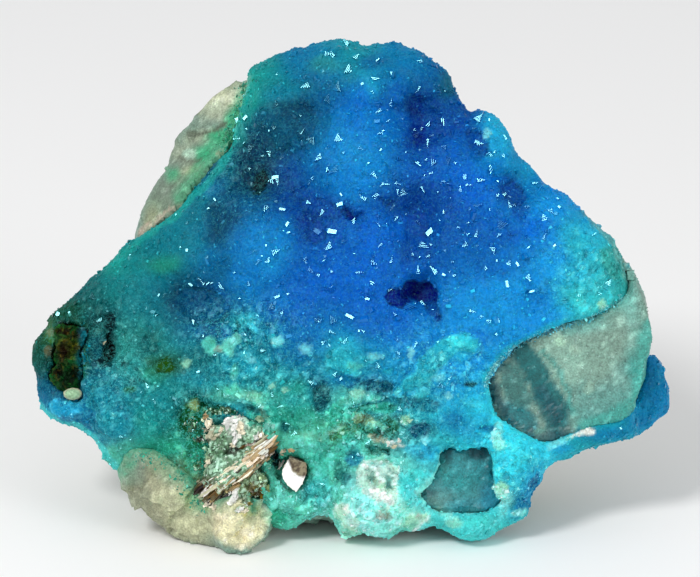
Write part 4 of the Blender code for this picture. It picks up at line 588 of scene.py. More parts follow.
# Loose chips of mica: x, y, turn in degrees, length, width, colour
MICA_CHIPS = [
    (-4.8, 5.24, 20, 0.52, 0.32, "white"), (-4.48, 5.4, 60, 0.48, 0.32, "white"),
    (-4.68, 4.84, 80, 0.48, 0.28, "white"), (-4.36, 5.04, 10, 0.4, 0.28, "cream"),
    (-4.56, 4.48, 70, 0.44, 0.2, "white"), (-4.72, 4.28, 50, 0.28, 0.16, "cream"),
    (-4.96, 5.12, 40, 0.24, 0.2, "white"), (-4.28, 4.84, 30, 0.24, 0.16, "cream"),
    (-4.44, 4.64, 0, 0.2, 0.16, "ivory"), (-5.68, 5.12, 80, 0.44, 0.24, "cream"),
    (-5.6, 4.72, 60, 0.36, 0.24, "bone"), (-5.76, 5.36, 20, 0.24, 0.2, "tan"),
    (-5.44, 4.56, 20, 0.24, 0.16, "sand"), (-5.12, 4.88, 60, 0.24, 0.16, "cream"),
    (-5.2, 4.64, 10, 0.2, 0.16, "bone"), (-3.68, 4.88, 30, 0.32, 0.24, "mint"),
    (-3.52, 4.64, 70, 0.28, 0.24, "cream"), (-3.76, 4.64, 40, 0.28, 0.16, "white"),
    (-4.0, 5.12, 10, 0.36, 0.2, "sea_foam"), (-3.68, 5.36, 160, 0.36, 0.2, "grain_green"),
    (-3.28, 4.96, 70, 0.32, 0.24, "pale_sea"), (-3.12, 4.64, 30, 0.28, 0.2, "sea_foam"),
    (-4.52, 2.48, 62, 0.72, 0.24, "white"), (-4.64, 2.08, 60, 0.48, 0.24, "white"),
    (-4.76, 1.92, 80, 0.24, 0.16, "ivory"), (-5.68, 1.92, 20, 0.36, 0.2, "cream"),
    (-5.44, 1.8, 50, 0.24, 0.16, "cream"), (-4.36, 1.76, 10, 0.32, 0.16, "white"),
    (-4.16, 1.68, 40, 0.24, 0.12, "cream"), (-5.24, 3.52, 60, 0.44, 0.24, "pale_mint"),
    (-5.48, 3.28, 20, 0.32, 0.2, "mint"), (-5.76, 3.2, 80, 0.28, 0.16, "grain_green"),
    (-5.68, 3.6, 60, 0.24, 0.16, "cream"), (-6.0, 2.48, 70, 0.28, 0.16, "sand"),
    (-6.12, 2.72, 40, 0.2, 0.16, "bone"), (-3.2, 4.28, 60, 0.32, 0.16, "cream"),
    (-3.36, 4.4, 40, 0.24, 0.16, "bone"), (-2.68, 4.0, 45, 0.24, 0.12, "sand"),
    (-2.32, 4.08, 170, 0.28, 0.12, "tan"), (-2.76, 3.48, 52, 0.52, 0.08, "ivory"),
    (1.52, 4.36, 60, 0.2, 0.12, "ivory"), (1.76, 4.24, 20, 0.2, 0.12, "bone"),
    (1.96, 4.4, 80, 0.16, 0.12, "ivory"), (-9.88, 8.4, 30, 0.16, 0.08, "bone"),
    (2.36, 5.28, 40, 0.2, 0.12, "mint"), (-4.16, 2.8, 120, 0.28, 0.16, "sage"),
    (-3.92, 2.96, 60, 0.28, 0.16, "grain_green"), (-3.52, 3.2, 20, 0.32, 0.2, "pale_sea"),
    (-3.28, 3.44, 70, 0.24, 0.2, "sea_foam"), (-3.52, 2.16, 40, 0.24, 0.16, "ochre"),
    (-4.0, 1.96, 20, 0.24, 0.12, "gold"), (-3.36, 2.48, 80, 0.2, 0.16, "leaf"),
]

# The book of leaves runs from its ragged foot to its tip, seen nearly edge on
BOOK_FOOT = (-5.8, 2.25)
BOOK_TIP = (-3.1, 4.45)
BOOK_HALF_WIDTHS = (0.44, 0.64, 0.16)  # at the foot, the middle and the tip
BOOK_LEAN = 1.1  # how far the leaves face the viewer
BOOK_LEAVES = 190
SHARDS = 9  # in each loose chip
BOOK_BRIGHT = ("cream", "white", "tan", "ivory", "cream", "bone")
BOOK_DARK = ("walnut", "brown", "tan", "clay_dark", "dark_brown")

# Where loose druse creeps over the quartz: colour, spread, count, crystal size, line
SEAMS = [
    ("copper_green", 0.13, 350, 0.07, [(-4.2, 18.9), (-4.7, 17.2), (-5.2, 16.2)]),
    ("sea_green", 0.2, 300, 0.06, [(-8.6, 3.5), (-8.1, 3.9), (-7.4, 3.7), (-6.8, 3.1), (-6.3, 2.4),
        (-5.9, 1.7)]),
    ("pale_cyan", 0.07, 900, 0.06, [(5.4, 6.7), (5.8, 7.4), (6.6, 8.2), (7.9, 8.8), (9.6, 9.3),
        (11.0, 10.2)]),
]

# The silver flake: its outline, the brown patch in its upper right, and its sheets from base to top
FLAKE_OUTLINE = [
    (-2.72, 3.3), (-2.42, 3.78), (-1.75, 3.56), (-1.72, 3.2), (-1.9, 2.72), (-2.18, 2.42), (-2.5, 2.66),
    (-2.7, 3.0),
]
FLAKE_STAIN = [
    (-2.52, 3.72), (-2.28, 3.95), (-1.9, 3.9), (-1.66, 3.6), (-1.64, 3.2), (-1.86, 2.98), (-2.12, 3.08),
    (-2.32, 3.26),
]
FLAKE_TILT_DEG = 12.0
FLAKE_SHEETS = 15
FLAKE_SHEET_THICKNESS = 0.06
FLAKE_EDGE_STEP = 0.07
FLAKE_EDGE_JITTER = 0.012
FLAKE_BASE = -0.85
FLAKE_TOP = 0.32

# Small crystals over the crust and the quartz. The size and how deep they are sunk are in millimetres,
# and the height is a share of the size.
FINE_PIECES = 3
# The pale share of each kind is painted sparkle: crystals coloured lighter as if catching the light
FINE_DRUSE = {
    "count": 15000, "size": 0.068, "spread": 0.35, "height": (0.25, 0.5), "tilt": 0.3, "sunk": 0.017,
    "painted_sparkle_share": 0.08,
}
COARSE_DRUSE = {
    "count": 3000, "size": 0.11, "spread": 0.3, "height": (0.4, 0.8), "tilt": 0.45, "sunk": 0.033,
    "painted_sparkle_share": 0.03,
}
QUARTZ_GRAINS = {
    "count": 7000, "size": 0.065, "spread": 0.4, "height": (0.2, 0.45), "tilt": 0.6, "sunk": 0.01,
}

# Loose crumbs: how many, and their size in millimetres
MICA_CRUMBS = (2400, 0.065)
LIMONITE_CRUMBS = (900, 0.09)

# The voxel size in millimetres of each solid's fine copy, and how many times it is smoothed
FINE_MESHES = {
    "turquoise_crust": (0.11, 3), "quartz_matrix": (0.15, 3), "mica_book": (0.06, 2),
    "limonite_patch": (0.06, 2), "quartz_grain": (0.04, 2),
}

# Where each part's random numbers start, so that every run gives the same specimen
SEEDS = {"druse": 3, "glints": 8, "quartz": 14, "mica": 21, "flake": 31, "limonite": 41, "seams": 51}

# Materials in a piece's own colours. The mottle is its noise scale and strength. The bump is its noise
# scale, strength and height in millimetres. The glow is light scattered under the surface: weight, reach
# for red, green and blue, and scale in millimetres.
MATERIALS = {
    "druse": {
        "mottle": (11000.0, 0.18), "bump": (14000.0, 0.25, 0.012), "glow": (0.75, (0.7, 0.9, 1.0), 0.13),
        "looks": {"Roughness": 0.5, "IOR": 1.6, "Specular IOR Level": 0.05},
    },
    "clear_crystals": {
        "mottle": (9000.0, 0.08), "glow": (0.4, (0.7, 0.9, 1.0), 0.15),
        "looks": {"Roughness": 0.12, "IOR": 1.65, "Specular Tint": (0.35, 0.92, 1.0, 1)},
    },
    "quartz": {
        "mottle": (14000.0, 0.3), "bump": (11000.0, 0.3, 0.015), "glow": (0.5, (1.0, 1.0, 0.9), 0.2),
        "looks": {"Roughness": 0.42, "IOR": 1.54, "Specular IOR Level": 0.3},
    },
    "mica": {
        "mottle": (7000.0, 0.2), "bump": (9000.0, 0.4, 0.02),
        "looks": {"Roughness": 0.28, "IOR": 1.58, "Specular IOR Level": 0.6},
    },
    "limonite": {
        "mottle": (8000.0, 0.35), "bump": (9000.0, 0.8, 0.05),
        "looks": {"Roughness": 0.6, "Specular IOR Level": 0.1},
    },
}
LACE_COLOUR = (0.05, 0.38, 0.36, 1)

# How far about the crust the quartz may be stained by it, in millimetres
CRUST_REACH = 0.9

# How much a patch's height counts, and over what width its edge rises, in millimetres. A patch that
# is raised or sunk by more than the rim height has a painted highlight or painted shade along its rim.
PATCH_GAIN = 2.2
PATCH_SLOPE = 0.18
PAINTED_RIM_HEIGHT = 0.03


# ---------------------------------------------------------------- the face frame and numbers on it


def lean_matrix():
    return Matrix.Rotation(math.radians(90 - FACE_LEAN_DEG), 4, "X")


def face_matrix():
    """From the face frame in millimetres to the part's frame in metres."""
    return Matrix.Translation(Vector(FACE_ORIGIN) * MM) @ lean_matrix() @ Matrix.Scale(MM, 4)


TO_WORLD = np.array(face_matrix())
TO_FACE = np.array(face_matrix().inverted())
LEAN = TO_WORLD[:3, :3] / MM


def to_world(points):
    return points @ TO_WORLD[:3, :3].T + TO_WORLD[:3, 3]


def to_face(points):
    return points @ TO_FACE[:3, :3].T + TO_FACE[:3, 3]


def unit(vectors):
    vectors = np.asarray(vectors, float)
    return vectors / np.linalg.norm(vectors, axis=-1, keepdims=True)


def linear(rgb):
    """Scene-linear red, green and blue of a colour given as it looks, from 0 to 255."""
    share = np.asarray(rgb, float) / 255
    return np.where(share <= 0.04045, share / 12.92, ((share + 0.055) / 1.055) ** 2.4)


def tone(name):
    """The pigment that makes a surface look as the palette says."""
    return np.clip((linear(PALETTE[name]) - SHEEN) / SHEEN_GAIN, 0.0, 1.0)


def smooth_step(t):
    t = np.clip(t, 0.0, 1.0)
    return t * t * (3 - 2 * t)


def past(value, start, over):
    """From 0 at the start to 1 at this far past it."""
    return smooth_step((value - start) / over)


def lattice_values(cells, seed):
    """A fixed random number from -1 to 1 for each cell of an endless lattice."""
    mixed = cells[..., 0] * 73856093 ^ cells[..., 1] * 19349663 ^ cells[..., 2] * 83492791
    mixed = mixed ^ seed * 1640531527
    mixed = (mixed & 0xFFFFFFFF).astype(np.uint64)
    mixed = ((mixed ^ (mixed >> np.uint64(15))) * np.uint64(2246822519)) & np.uint64(0xFFFFFFFF)
    mixed = ((mixed ^ (mixed >> np.uint64(13))) * np.uint64(3266489917)) & np.uint64(0xFFFFFFFF)
    mixed = mixed ^ (mixed >> np.uint64(16))
    return mixed.astype(float) / 0x7FFFFFFF - 1.0


def lattice_noise(points, size, seed):
    """Smooth noise from -1 to 1 whose lumps are about this size."""
    scaled = points / size
    cells = np.floor(scaled).astype(np.int64)
    part = smooth_step(scaled - cells)
    total = np.zeros(len(points))
    for corner in product((0, 1), repeat=3):
        weight = np.prod(np.where(corner, part, 1 - part), axis=1)
        total += weight * lattice_values(cells + np.array(corner), seed)
    return total


def layered_noise(points, size, seed, layers=3):
    """Noise with finer and weaker noise on it."""
    total = np.zeros(len(points))
    for layer in range(layers):
        total += lattice_noise(points, size / 2**layer, seed + layer) / 2**layer
    return total / 1.6


def random_vectors(cells, seed):
    return np.stack([lattice_values(cells, seed + k) for k in range(3)], axis=1)


def nearest_grain(points, size, seed):
    """Each point's place from the nearest grain centre, in grain sizes, and that grain's cell."""
    scaled = points / size
    cells = np.floor(scaled).astype(np.int64)
    nearest = np.full(len(points), np.inf)
    offset = np.zeros((len(points), 3))
    grain = cells.copy()
    for step in product((-1, 0, 1), repeat=3):
        near = cells + np.array(step)
        from_centre = scaled - near - 0.5 - 0.45 * random_vectors(near, seed)
        away = np.linalg.norm(from_centre, axis=1)
        closer = away < nearest
        nearest = np.where(closer, away, nearest)
        offset[closer] = from_centre[closer]
        grain[closer] = near[closer]
    return offset, grain


def grain_distance(points, size, seed):
    """Distance to the nearest grain centre, in grain sizes, and that grain's own random number."""
    offset, grain = nearest_grain(points, size, seed)
    return np.linalg.norm(offset, axis=1), lattice_values(grain, seed + 3)


def facet_rise(points, size, steepness, seed):
    """How high flat broken faces stand, each at its own slant, with crisp edges, in millimetres."""
    offset, grain = nearest_grain(points, size, seed)
    slant = random_vectors(grain, seed + 4)
    return size * steepness * (np.sum(offset * slant, axis=1) + 0.5 * lattice_values(grain, seed + 7))


# ---------------------------------------------------------------- colour fields


def plain(points, name):
    return np.tile(tone(name), (len(points), 1))


def blended(colours, weight, colour):
    """Colours moved by weight towards one colour, or towards as many others."""
    return colours * (1 - weight[:, None]) + colour * weight[:, None]


def warped(points, size, amount, seed):
    """Places on the face, pushed about unevenly so that what is laid by them gets ragged edges."""
    push = np.stack([layered_noise(points, size, seed), layered_noise(points, size, seed + 9)], axis=1)
    return points[:, :2] + amount * push


def zone_distance(flat, x, y, across, up):
    """How far places on the face are from a zone's middle, where 1 is its reach."""
    return np.hypot((flat[:, 0] - x) / across, (flat[:, 1] - y) / up)


def ground(points, anchors):
    """Broad colours that blend smoothly, each strongest at its own place."""
    flat = warped(points, 2.2, 0.45, 40)
    total = np.zeros((len(points), 3))
    weights = np.full(len(points), 1e-9)
    for x, y, reach, name in anchors:
        weight = np.exp(-(((flat[:, 0] - x) ** 2 + (flat[:, 1] - y) ** 2) / reach**2)) + 1e-6
        total += weight[:, None] * tone(name)
        weights += weight
    return total / weights[:, None]


def wash(colours, points, washes):
    """Lays patches with soft edges, the more uneven the larger they are."""
    push = warped(points, 1.1, 1.0, 50) - points[:, :2]
    for x, y, across, up, name, strength in washes:
        flat = points[:, :2] + push * (0.1 + 0.5 * min(across, up))
        away = zone_distance(flat, x, y, across, up)
        colours = blended(colours, strength * np.exp(-1.1 * away**3.2), tone(name))
    return colours


def mark(colours, points, marks):
    """Lays small patches with firm, ragged edges."""
    flat = warped(points, 0.3, 0.12, 60)
    for x, y, across, up, name, strength in marks:
        away = zone_distance(flat, x, y, across, up)
        colours = blended(colours, strength * smooth_step((1.15 - away) / 0.4), tone(name))
    return colours


def zoned(colours, flat, zones):
    """Lays soft-edged zones of ground by places that are already pushed about."""
    for x, y, across, up, name, strength in zones:
        away = zone_distance(flat, x, y, across, up)
        colours = blended(colours, strength * np.exp(-1.1 * away**3), tone(name))
    return colours


def line_distance(flat, line):
    nearest = np.full(len(flat), np.inf)
    for (ax, ay), (bx, by) in zip(line, line[1:]):
        dx, dy = bx - ax, by - ay
        along = np.clip(((flat[:, 0] - ax) * dx + (flat[:, 1] - ay) * dy) / (dx * dx + dy * dy), 0, 1)
        away = np.hypot(flat[:, 0] - ax - along * dx, flat[:, 1] - ay - along * dy)
        nearest = np.minimum(nearest, away)
    return nearest


def stroke(colours, points, strokes):
    """Lays uneven lines of colour."""
    flat = warped(points, 0.5, 0.16, 64)
    for name, width, strength, line in strokes:
        weight = strength * smooth_step(1.5 - line_distance(flat, line) / width)
        colours = blended(colours, weight, tone(name))
    return colours


def patch_depth(points, outline):
    """How far each point lies within a closed outline drawn a little unevenly, and less than 0 outside."""
    flat = warped(points, 0.25, 0.07, 62)
    x, y = flat.T
    inside = np.zeros(len(flat), bool)
    for (ax, ay), (bx, by) in zip(outline, outline[1:] + outline[:1]):
        if ay != by:
            inside ^= ((ay > y) != (by > y)) & (x < ax + (y - ay) * (bx - ax) / (by - ay))
    away = line_distance(flat, outline + outline[:1])
    return np.where(inside, away, -away)


def near_outline(points, outline, margin=0.8):
    """Which points may be touched by a patch with this outline."""
    low, high = np.min(outline, axis=0) - margin, np.max(outline, axis=0) + margin
    return np.all((points[:, :2] > low) & (points[:, :2] < high), axis=1)


def patched(colours, points, patches, edge, ragged):
    """Lays firm-edged patches: a raised one has a broken painted highlight along its rim, and a sunken one
    painted shade along its edge.
    """
    colours = colours.copy()
    broken = smooth_step(0.5 + 2.5 * layered_noise(points, 0.3, 64))
    for name, strength, height, outline in patches:
        near = near_outline(points, outline)
        depth = patch_depth(points[near], outline) + ragged * layered_noise(points[near], 0.3, 66)
        laid = blended(colours[near], strength * smooth_step(0.5 + depth / edge), tone(name))
        # Along each edge: a painted highlight on raised patches and painted shade on sunken ones
        rim = broken[near] * np.exp(-(((depth - 0.05) / 0.05) ** 2))
        if height > PAINTED_RIM_HEIGHT:
            laid = blended(laid, 0.6 * rim, np.clip(laid * 1.7 + (0.05, 0.16, 0.15), 0, 1))
        elif height < -PAINTED_RIM_HEIGHT:
            laid = laid * (1 - 0.4 * rim)[:, None]
        colours[near] = laid
    return colours


def patch_rise(points, patches):
    """How much the patches raise or sink their places, in millimetres."""
    rise = np.zeros(len(points))
    for _, _, height, outline in patches:
        near = near_outline(points, outline)
        depth = patch_depth(points[near], outline)
        rise[near] += PATCH_GAIN * height * smooth_step(0.5 + depth / PATCH_SLOPE)
    return rise


def crumbliness(points):
    """How crumbly the druse is at each point, from 0 to 1."""
    total = np.zeros(len(points))
    for x, y, across, up, strength in CRUMBLY:
        away = ((points[:, 0] - x) / across) ** 2 + ((points[:, 1] - y) / up) ** 2
        total = np.maximum(total, strength * np.exp(-1.5 * away))
    return total


def crust_colour(points):
    crumbly = crumbliness(points)
    # Darker overall and where crumbly, and, as painted light, lighter towards the right and darker towards
    # the left
    dimming_and_painted_light = (0.93 - 0.06 * crumbly) * (1 + 0.02 * points[:, 0])
    colours = wash(ground(points, CRUST_GROUND), points, CRUST_WASHES) * dimming_and_painted_light[:, None]
    colours = patched(colours, points, CRUST_PATCHES, 0.09, 0.1)
    colours = stroke(colours, points, CRUST_STROKES)
    # Where it is crumbly: pale clumps, then paler grains, with painted shade darkening the gaps among them
    lace = smooth_step(0.6 + 1.6 * lattice_noise(points, 0.13, 82))
    near, value = grain_distance(points, 0.4, 80)
    clumps = crumbly * smooth_step((value - 0.3) * 4) * smooth_step((0.8 - near) * 4) * lace
    colours = blended(colours, 0.75 * clumps, np.clip(colours * 1.7 + (0.05, 0.16, 0.12), 0, 1))
    _, value = grain_distance(points, 0.2, 84)
    grains = crumbly * smooth_step((value - 0.72) * 8)
    colours = blended(colours, 0.8 * grains, np.clip(colours * 2.0 + (0.12, 0.3, 0.24), 0, 1))
    # Painted shade in the gaps among the grains
    painted_gap_shade = crumbly * smooth_step((-0.5 - value) * 5)
    colours = colours * (1 - 0.5 * painted_gap_shade)[:, None]
    colours = mark(colours, points, CRUST_MARKS)
    # A mottle over all, in brightness and in how green it is
    uneven = 0.7 + 1.3 * crumbly
    mottle = 1 + uneven * (0.1 * layered_noise(points, 0.8, 70) + 0.15 * layered_noise(points, 0.26, 74))
    green = 1 + 0.1 * uneven * layered_noise(points, 0.6, 78)
    return colours * mottle[:, None] * np.stack([green, green, np.ones(len(points))], axis=1)


def quartz_colour(points):
    """Grey-green where it shows in the face, and dull cream with rusty and green stains behind."""
    stain = layered_noise(points, 2.2, 90)
    behind = blended(plain(points, "pale_grey_green"), smooth_step(stain * 1.6), tone("sand"))
    behind = blended(behind, 0.7 * smooth_step(layered_noise(points, 3.1, 93) * 2.4), tone("frost"))
    veins = smooth_step(1 - np.abs(layered_noise(points, 2.6, 94)) * 14) * smooth_step(0.3 + stain)
    behind = blended(behind, 0.5 * veins, tone("tan"))
    green = layered_noise(points, 2.4, 97) + 0.4 * layered_noise(points, 0.5, 95)
    behind = blended(behind, 0.45 * smooth_step((green - 0.42) * 4), tone("copper_green"))
    front = wash(plain(points, "frost"), points, QUARTZ_WASHES)
    front = patched(front, points, QUARTZ_PATCHES, 0.25, 0.14)
    front = mark(stroke(front, points, QUARTZ_STROKES), points, QUARTZ_MARKS)
    share = past(points[:, 2], -6.2, 1.6)
    colours = behind * (1 - share[:, None]) + front * share[:, None]
    near, value = grain_distance(points, 0.17, 86)
    speckle = 1 + 0.14 * layered_noise(points, 0.5, 91) + 0.22 * value * smooth_step((0.8 - near) * 3)
    colours = colours * speckle[:, None]
    # Painted sparkle: the brightest grains made paler, as glints on the frosted quartz
    painted_sparkle = 0.5 * smooth_step((value - 0.8) * 9)
    return blended(colours, painted_sparkle, np.clip(colours * 1.5 + 0.08, 0, 1))


# ---------------------------------------------------------------- mesh helpers


def read_vectors(mesh, what):
    """The mesh's points ("co") or their normals ("normal")."""
    vectors = np.empty(len(mesh.vertices) * 3)
    mesh.vertices.foreach_get(what, vectors)
    return vectors.reshape(-1, 3)


def write_points(mesh, points):
    """Puts the points in place, kept inside the solids' own box."""
    low, high = (np.array(corner) for corner in cad_box)
    inside = np.clip(points, low, high)
    mesh.vertices.foreach_set("co", inside.ravel())
    mesh.update()


def store_colours(mesh, colours, crumbly=0.0):
    """Keeps a colour for each point, with how crumbly the place is as its fourth number."""
    attribute = mesh.color_attributes.new("tone", "FLOAT_COLOR", "POINT")
    filled = np.empty((len(colours), 4))
    filled[:, :3] = np.clip(colours, 0, 1)
    filled[:, 3] = crumbly
    attribute.data.foreach_set("color", filled.ravel())


def new_object(name, data):
    obj = bpy.data.objects.new(name, data)
    bpy.context.scene.collection.objects.link(obj)
    return obj


def apply_modifiers(obj):
    graph = bpy.context.evaluated_depsgraph_get()
    mesh = bpy.data.meshes.new_from_object(obj.evaluated_get(graph))
    obj.modifiers.clear()
    obj.data = mesh


def fine_copy(node, name):
    """A copy of a solid in an even fine mesh."""
    voxel, smoothing = FINE_MESHES[node]
    obj = new_object(name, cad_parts[node].data.copy())
    obj.data.materials.clear()
    bm = bmesh.new()
    bm.from_mesh(obj.data)
    bmesh.ops.remove_doubles(bm, verts=bm.verts, dist=0.0005 * MM)
    bm.to_mesh(obj.data)
    bm.free()
    modifier = obj.modifiers.new("Remesh", "REMESH")
    modifier.mode = "VOXEL"
    modifier.voxel_size = voxel * MM
    smooth = obj.modifiers.new("Smooth", "SMOOTH")
    smooth.factor = 0.5
    smooth.iterations = smoothing
    apply_modifiers(obj)
    return obj


def raised(obj, rise, sideways=1.0):
    """Moves each point out along its normal by rise(points in the face frame), in millimetres.

    A point that doesn't face the viewer moves only by the share sideways of it.
    """
    points, normals = read_vectors(obj.data, "co"), read_vectors(obj.data, "normal")
    share = sideways + (1 - sideways) * np.clip((normals @ LEAN)[:, 2], 0, 1)
    out = points + normals * (share * rise(to_face(points)) * MM)[:, None]
    write_points(obj.data, out)
    return to_face(out)


def finish_piece(obj, material, replaces=()):
    obj.data.materials.clear()
    obj.data.materials.append(material)
    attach(obj, "root")
    if replaces:
        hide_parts(*replaces)
    return obj


def dressed(node, name, rise, colour, material):
    """A solid's fine copy, raised and coloured, in the solid's place."""
    obj = fine_copy(node, name)
    store_colours(obj.data, colour(raised(obj, rise)))
    return finish_piece(obj, material, [node])


# ---------------------------------------------------------------- materials


def new_material(name):
    material = bpy.data.materials.new(name)
    material.use_nodes = True
    tree = material.node_tree
    return material, tree, tree.nodes["Principled BSDF"]


def set_inputs(tree, node, inputs):
    """Sets a node's inputs to values, or links them to the outputs of other nodes."""
    for name, value in inputs.items():
        if isinstance(value, bpy.types.NodeSocket):
            tree.links.new(value, node.inputs[name])
        else:
            node.inputs[name].default_value = value


def add_node(tree, kind, output, inputs, **settings):
    """Adds a shader node and gives one of its outputs."""
    node = tree.nodes.new("ShaderNode" + kind)
    for name, value in settings.items():
        setattr(node, name, value)
    set_inputs(tree, node, inputs)
    return node.outputs[output]


def own_tone(tree, output):
    return add_node(tree, "Attribute", output, {}, attribute_name="tone")


def noise(tree, coords, scale, detail, distortion=0.0):
    inputs = {"Vector": coords, "Scale": scale, "Detail": detail, "Distortion": distortion}
    return add_node(tree, "TexNoise", "Fac", inputs)


def mapped(tree, value, before, after):
    """Moves a value from one range to another, and no farther than its ends."""
    inputs = {"Value": value}
    inputs.update(zip(("From Min", "From Max", "To Min", "To Max"), (*before, *after)))
    return add_node(tree, "MapRange", "Result", inputs)


def computed(tree, operation, first, second=0.5):
    return add_node(tree, "Math", "Value", {0: first, 1: second}, operation=operation)


def mixed(tree, way, share, first, second):
    inputs = {"Factor": share, "A": first, "B": second}
    return add_node(tree, "Mix", "Result", inputs, data_type="RGBA", blend_type=way)


def lace_share(tree, coords):
    """Where fine pale threads and specks lie on the druse, most where it is crumbly."""
    off = computed(tree, "SUBTRACT", noise(tree, coords, 5200.0, 4.0, 0.5))
    threads = mapped(tree, computed(tree, "ABSOLUTE", off), (0.0, 0.05), (1.0, 0.0))
    specks = mapped(tree, noise(tree, coords, 9500.0, 1.0), (0.61, 0.7), (0.0, 1.0))
    amount = mapped(tree, own_tone(tree, "Alpha"), (0.0, 1.0), (0.16, 1.0))
    return computed(tree, "MULTIPLY", computed(tree, "MAXIMUM", threads, specks), amount)


def piece_material(name):
    """One of MATERIALS, in the piece's own colours. Only the druse is laced."""
    kind = MATERIALS[name]
    material, tree, shader = new_material(name)
    coords = add_node(tree, "TexCoord", "Object", {})
    scale, strength = kind["mottle"]
    mottle = mapped(tree, noise(tree, coords, scale, 3.0), (0.3, 0.7), (1 - strength, 1 + strength))
    colour = mixed(tree, "MULTIPLY", 1.0, own_tone(tree, "Color"), mottle)
    if name == "druse":
        colour = mixed(tree, "SCREEN", lace_share(tree, coords), colour, LACE_COLOUR)
    set_inputs(tree, shader, {"Base Color": colour, **kind["looks"]})
    if "bump" in kind:
        scale, strength, height = kind["bump"]
        inputs = {"Strength": strength, "Distance": height * MM, "Height": noise(tree, coords, scale, 4.0)}
        set_inputs(tree, shader, {"Normal": add_node(tree, "Bump", "Normal", inputs)})
    if "glow" in kind:
        weight, reach, scale = kind["glow"]
        set_inputs(tree, shader, {
            "Subsurface Weight": weight, "Subsurface Radius": reach, "Subsurface Scale": scale * MM
        })
    return material


# ---------------------------------------------------------------- crystals in bulk


def crystal_templates():
    """Closed unit crystals on the origin: a roof-shaped wedge and a slanting block, in triangles."""
    roof = np.array([
        (-0.5, -0.4, 0), (0.5, -0.4, 0), (0.5, 0.4, 0), (-0.5, 0.4, 0),
        (-0.28, 0.05, 0.8), (0.34, -0.05, 0.95),
    ])
    roof_faces = np.array([
        (0, 3, 2), (0, 2, 1), (0, 1, 5), (0, 5, 4), (2, 3, 4), (2, 4, 5), (1, 2, 5), (3, 0, 4),
    ])
    block = np.array([
        (-0.5, -0.38, 0), (0.5, -0.38, 0), (0.5, 0.38, 0), (-0.5, 0.38, 0),
        (-0.4, -0.3, 0.75), (0.36, -0.26, 1.05), (0.4, 0.34, 1.0), (-0.36, 0.3, 0.7),
    ])
    block_faces = np.array([
        (0, 3, 2), (0, 2, 1), (4, 5, 6), (4, 6, 7), (0, 1, 5), (0, 5, 4),
        (1, 2, 6), (1, 6, 5), (2, 3, 7), (2, 7, 6), (3, 0, 4), (3, 4, 7),
    ])
    return (roof, roof_faces), (block, block_faces)


def flat_ended(template):
    """The block with its slanting end cut square."""
    corners, faces = template
    corners = corners.copy()
    corners[4:, 2] = 0.9
    return corners, faces


def turn_frames(normals, rng, tilt):
    """One rotation matrix for each crystal: standing along its normal, tilted at random and spun."""
    up = unit(normals + rng.normal(0, tilt, normals.shape))
    side = unit(np.cross(up, rng.normal(0, 1, up.shape)))
    return np.stack([side, np.cross(up, side), up], axis=2)


def crystal_sizes(rng, count, middle, spread, height):
    """Three scales for each crystal: its length, width and height."""
    size = rng.lognormal(math.log(middle), spread, count)
    return np.stack([size * rng.uniform(0.9, 1.4, count), size, size * rng.uniform(*height, count)], axis=1)


def new_mesh(name, world, faces, colours, crumbly=0.0):
    """A mesh from points in the part's frame, with its colours."""
    mesh = bpy.data.meshes.new(name)
    mesh.from_pydata(world, [], faces)
    write_points(mesh, world)
    store_colours(mesh, colours, crumbly)
    return mesh


def crystals_mesh(name, template, feet, frames, sizes, colours, crumbly=0.0):
    """One mesh of many crystals: feet in metres, sizes as three scales each in millimetres."""
    corners, faces = template
    placed = np.einsum("nij,nkj->nki", frames, corners[None] * sizes[:, None] * MM) + feet[:, None]
    count = len(corners)
    all_faces = faces[None] + (np.arange(len(feet)) * count)[:, None, None]
    each = np.repeat(np.broadcast_to(crumbly, len(feet)), count)
    colours = np.repeat(colours, count, axis=0)
    return new_mesh(name, placed.reshape(-1, 3), all_faces.reshape(-1, 3), colours, each)


def surface_spots(mesh, count, rng, keep):
    """Random spots on the triangles that keep() weighs by normal and place, and their normals."""
    mesh.calc_loop_triangles()
    corners = np.empty(len(mesh.loop_triangles) * 3, np.int32)
    mesh.loop_triangles.foreach_get("vertices", corners)
    points = read_vectors(mesh, "co")[corners.reshape(-1, 3)]
    normals = np.cross(points[:, 1] - points[:, 0], points[:, 2] - points[:, 0])
    areas = np.linalg.norm(normals, axis=1)
    normals /= np.maximum(areas, 1e-15)[:, None]
    weights = areas * keep(normals @ LEAN, to_face(points.mean(axis=1)))
    picks = rng.choice(len(areas), count, p=weights / weights.sum())
    mix = rng.dirichlet((1, 1, 1), count)
    return np.einsum("nk,nki->ni", mix, points[picks]), normals[picks]


def on_the_front(normals, _places):
    return (normals[:, 2] > -0.35).astype(float)


def mostly_the_block(normals, places):
    share = np.where(places[:, 0] > 3, 1.0, 0.3) * past(places[:, 2], -6, 2)
    return (normals[:, 2] > -0.2) * share


def strewn(obj, kind, rng, keep):
    """Where a kind of crystal stands on a surface: the feet, turns and sizes."""
    feet, out = surface_spots(obj.data, kind["count"], rng, keep)
    frames = turn_frames(out, rng, kind["tilt"])
    sizes = crystal_sizes(rng, len(feet), kind["size"], kind["spread"], kind["height"])
    return feet - out * (kind["sunk"] * MM), frames, sizes


def varied_with_painted_sparkle(colours, points, rng, share):
    """Uneven brightness from crystal to crystal, with a share of them pale, and more where crumbly. The pale
    share is painted sparkle; the extra pale ones where crumbly are pale crumbs.
    """
    count = len(colours)
    crumbly = crumbliness(points)
    colours = colours * np.exp(rng.normal(0, 1, count) * (0.09 + 0.18 * crumbly))[:, None]
    pale = np.where(rng.random(count) < share + 0.2 * crumbly, rng.uniform(0.2, 0.9, count), 0.0)
    bright = np.clip(colours * 2.0 + (0.02, 0.17, 0.18) + 0.18 * crumbly[:, None], 0, 1)
    return colours * (1 - pale[:, None]) + bright * pale[:, None]


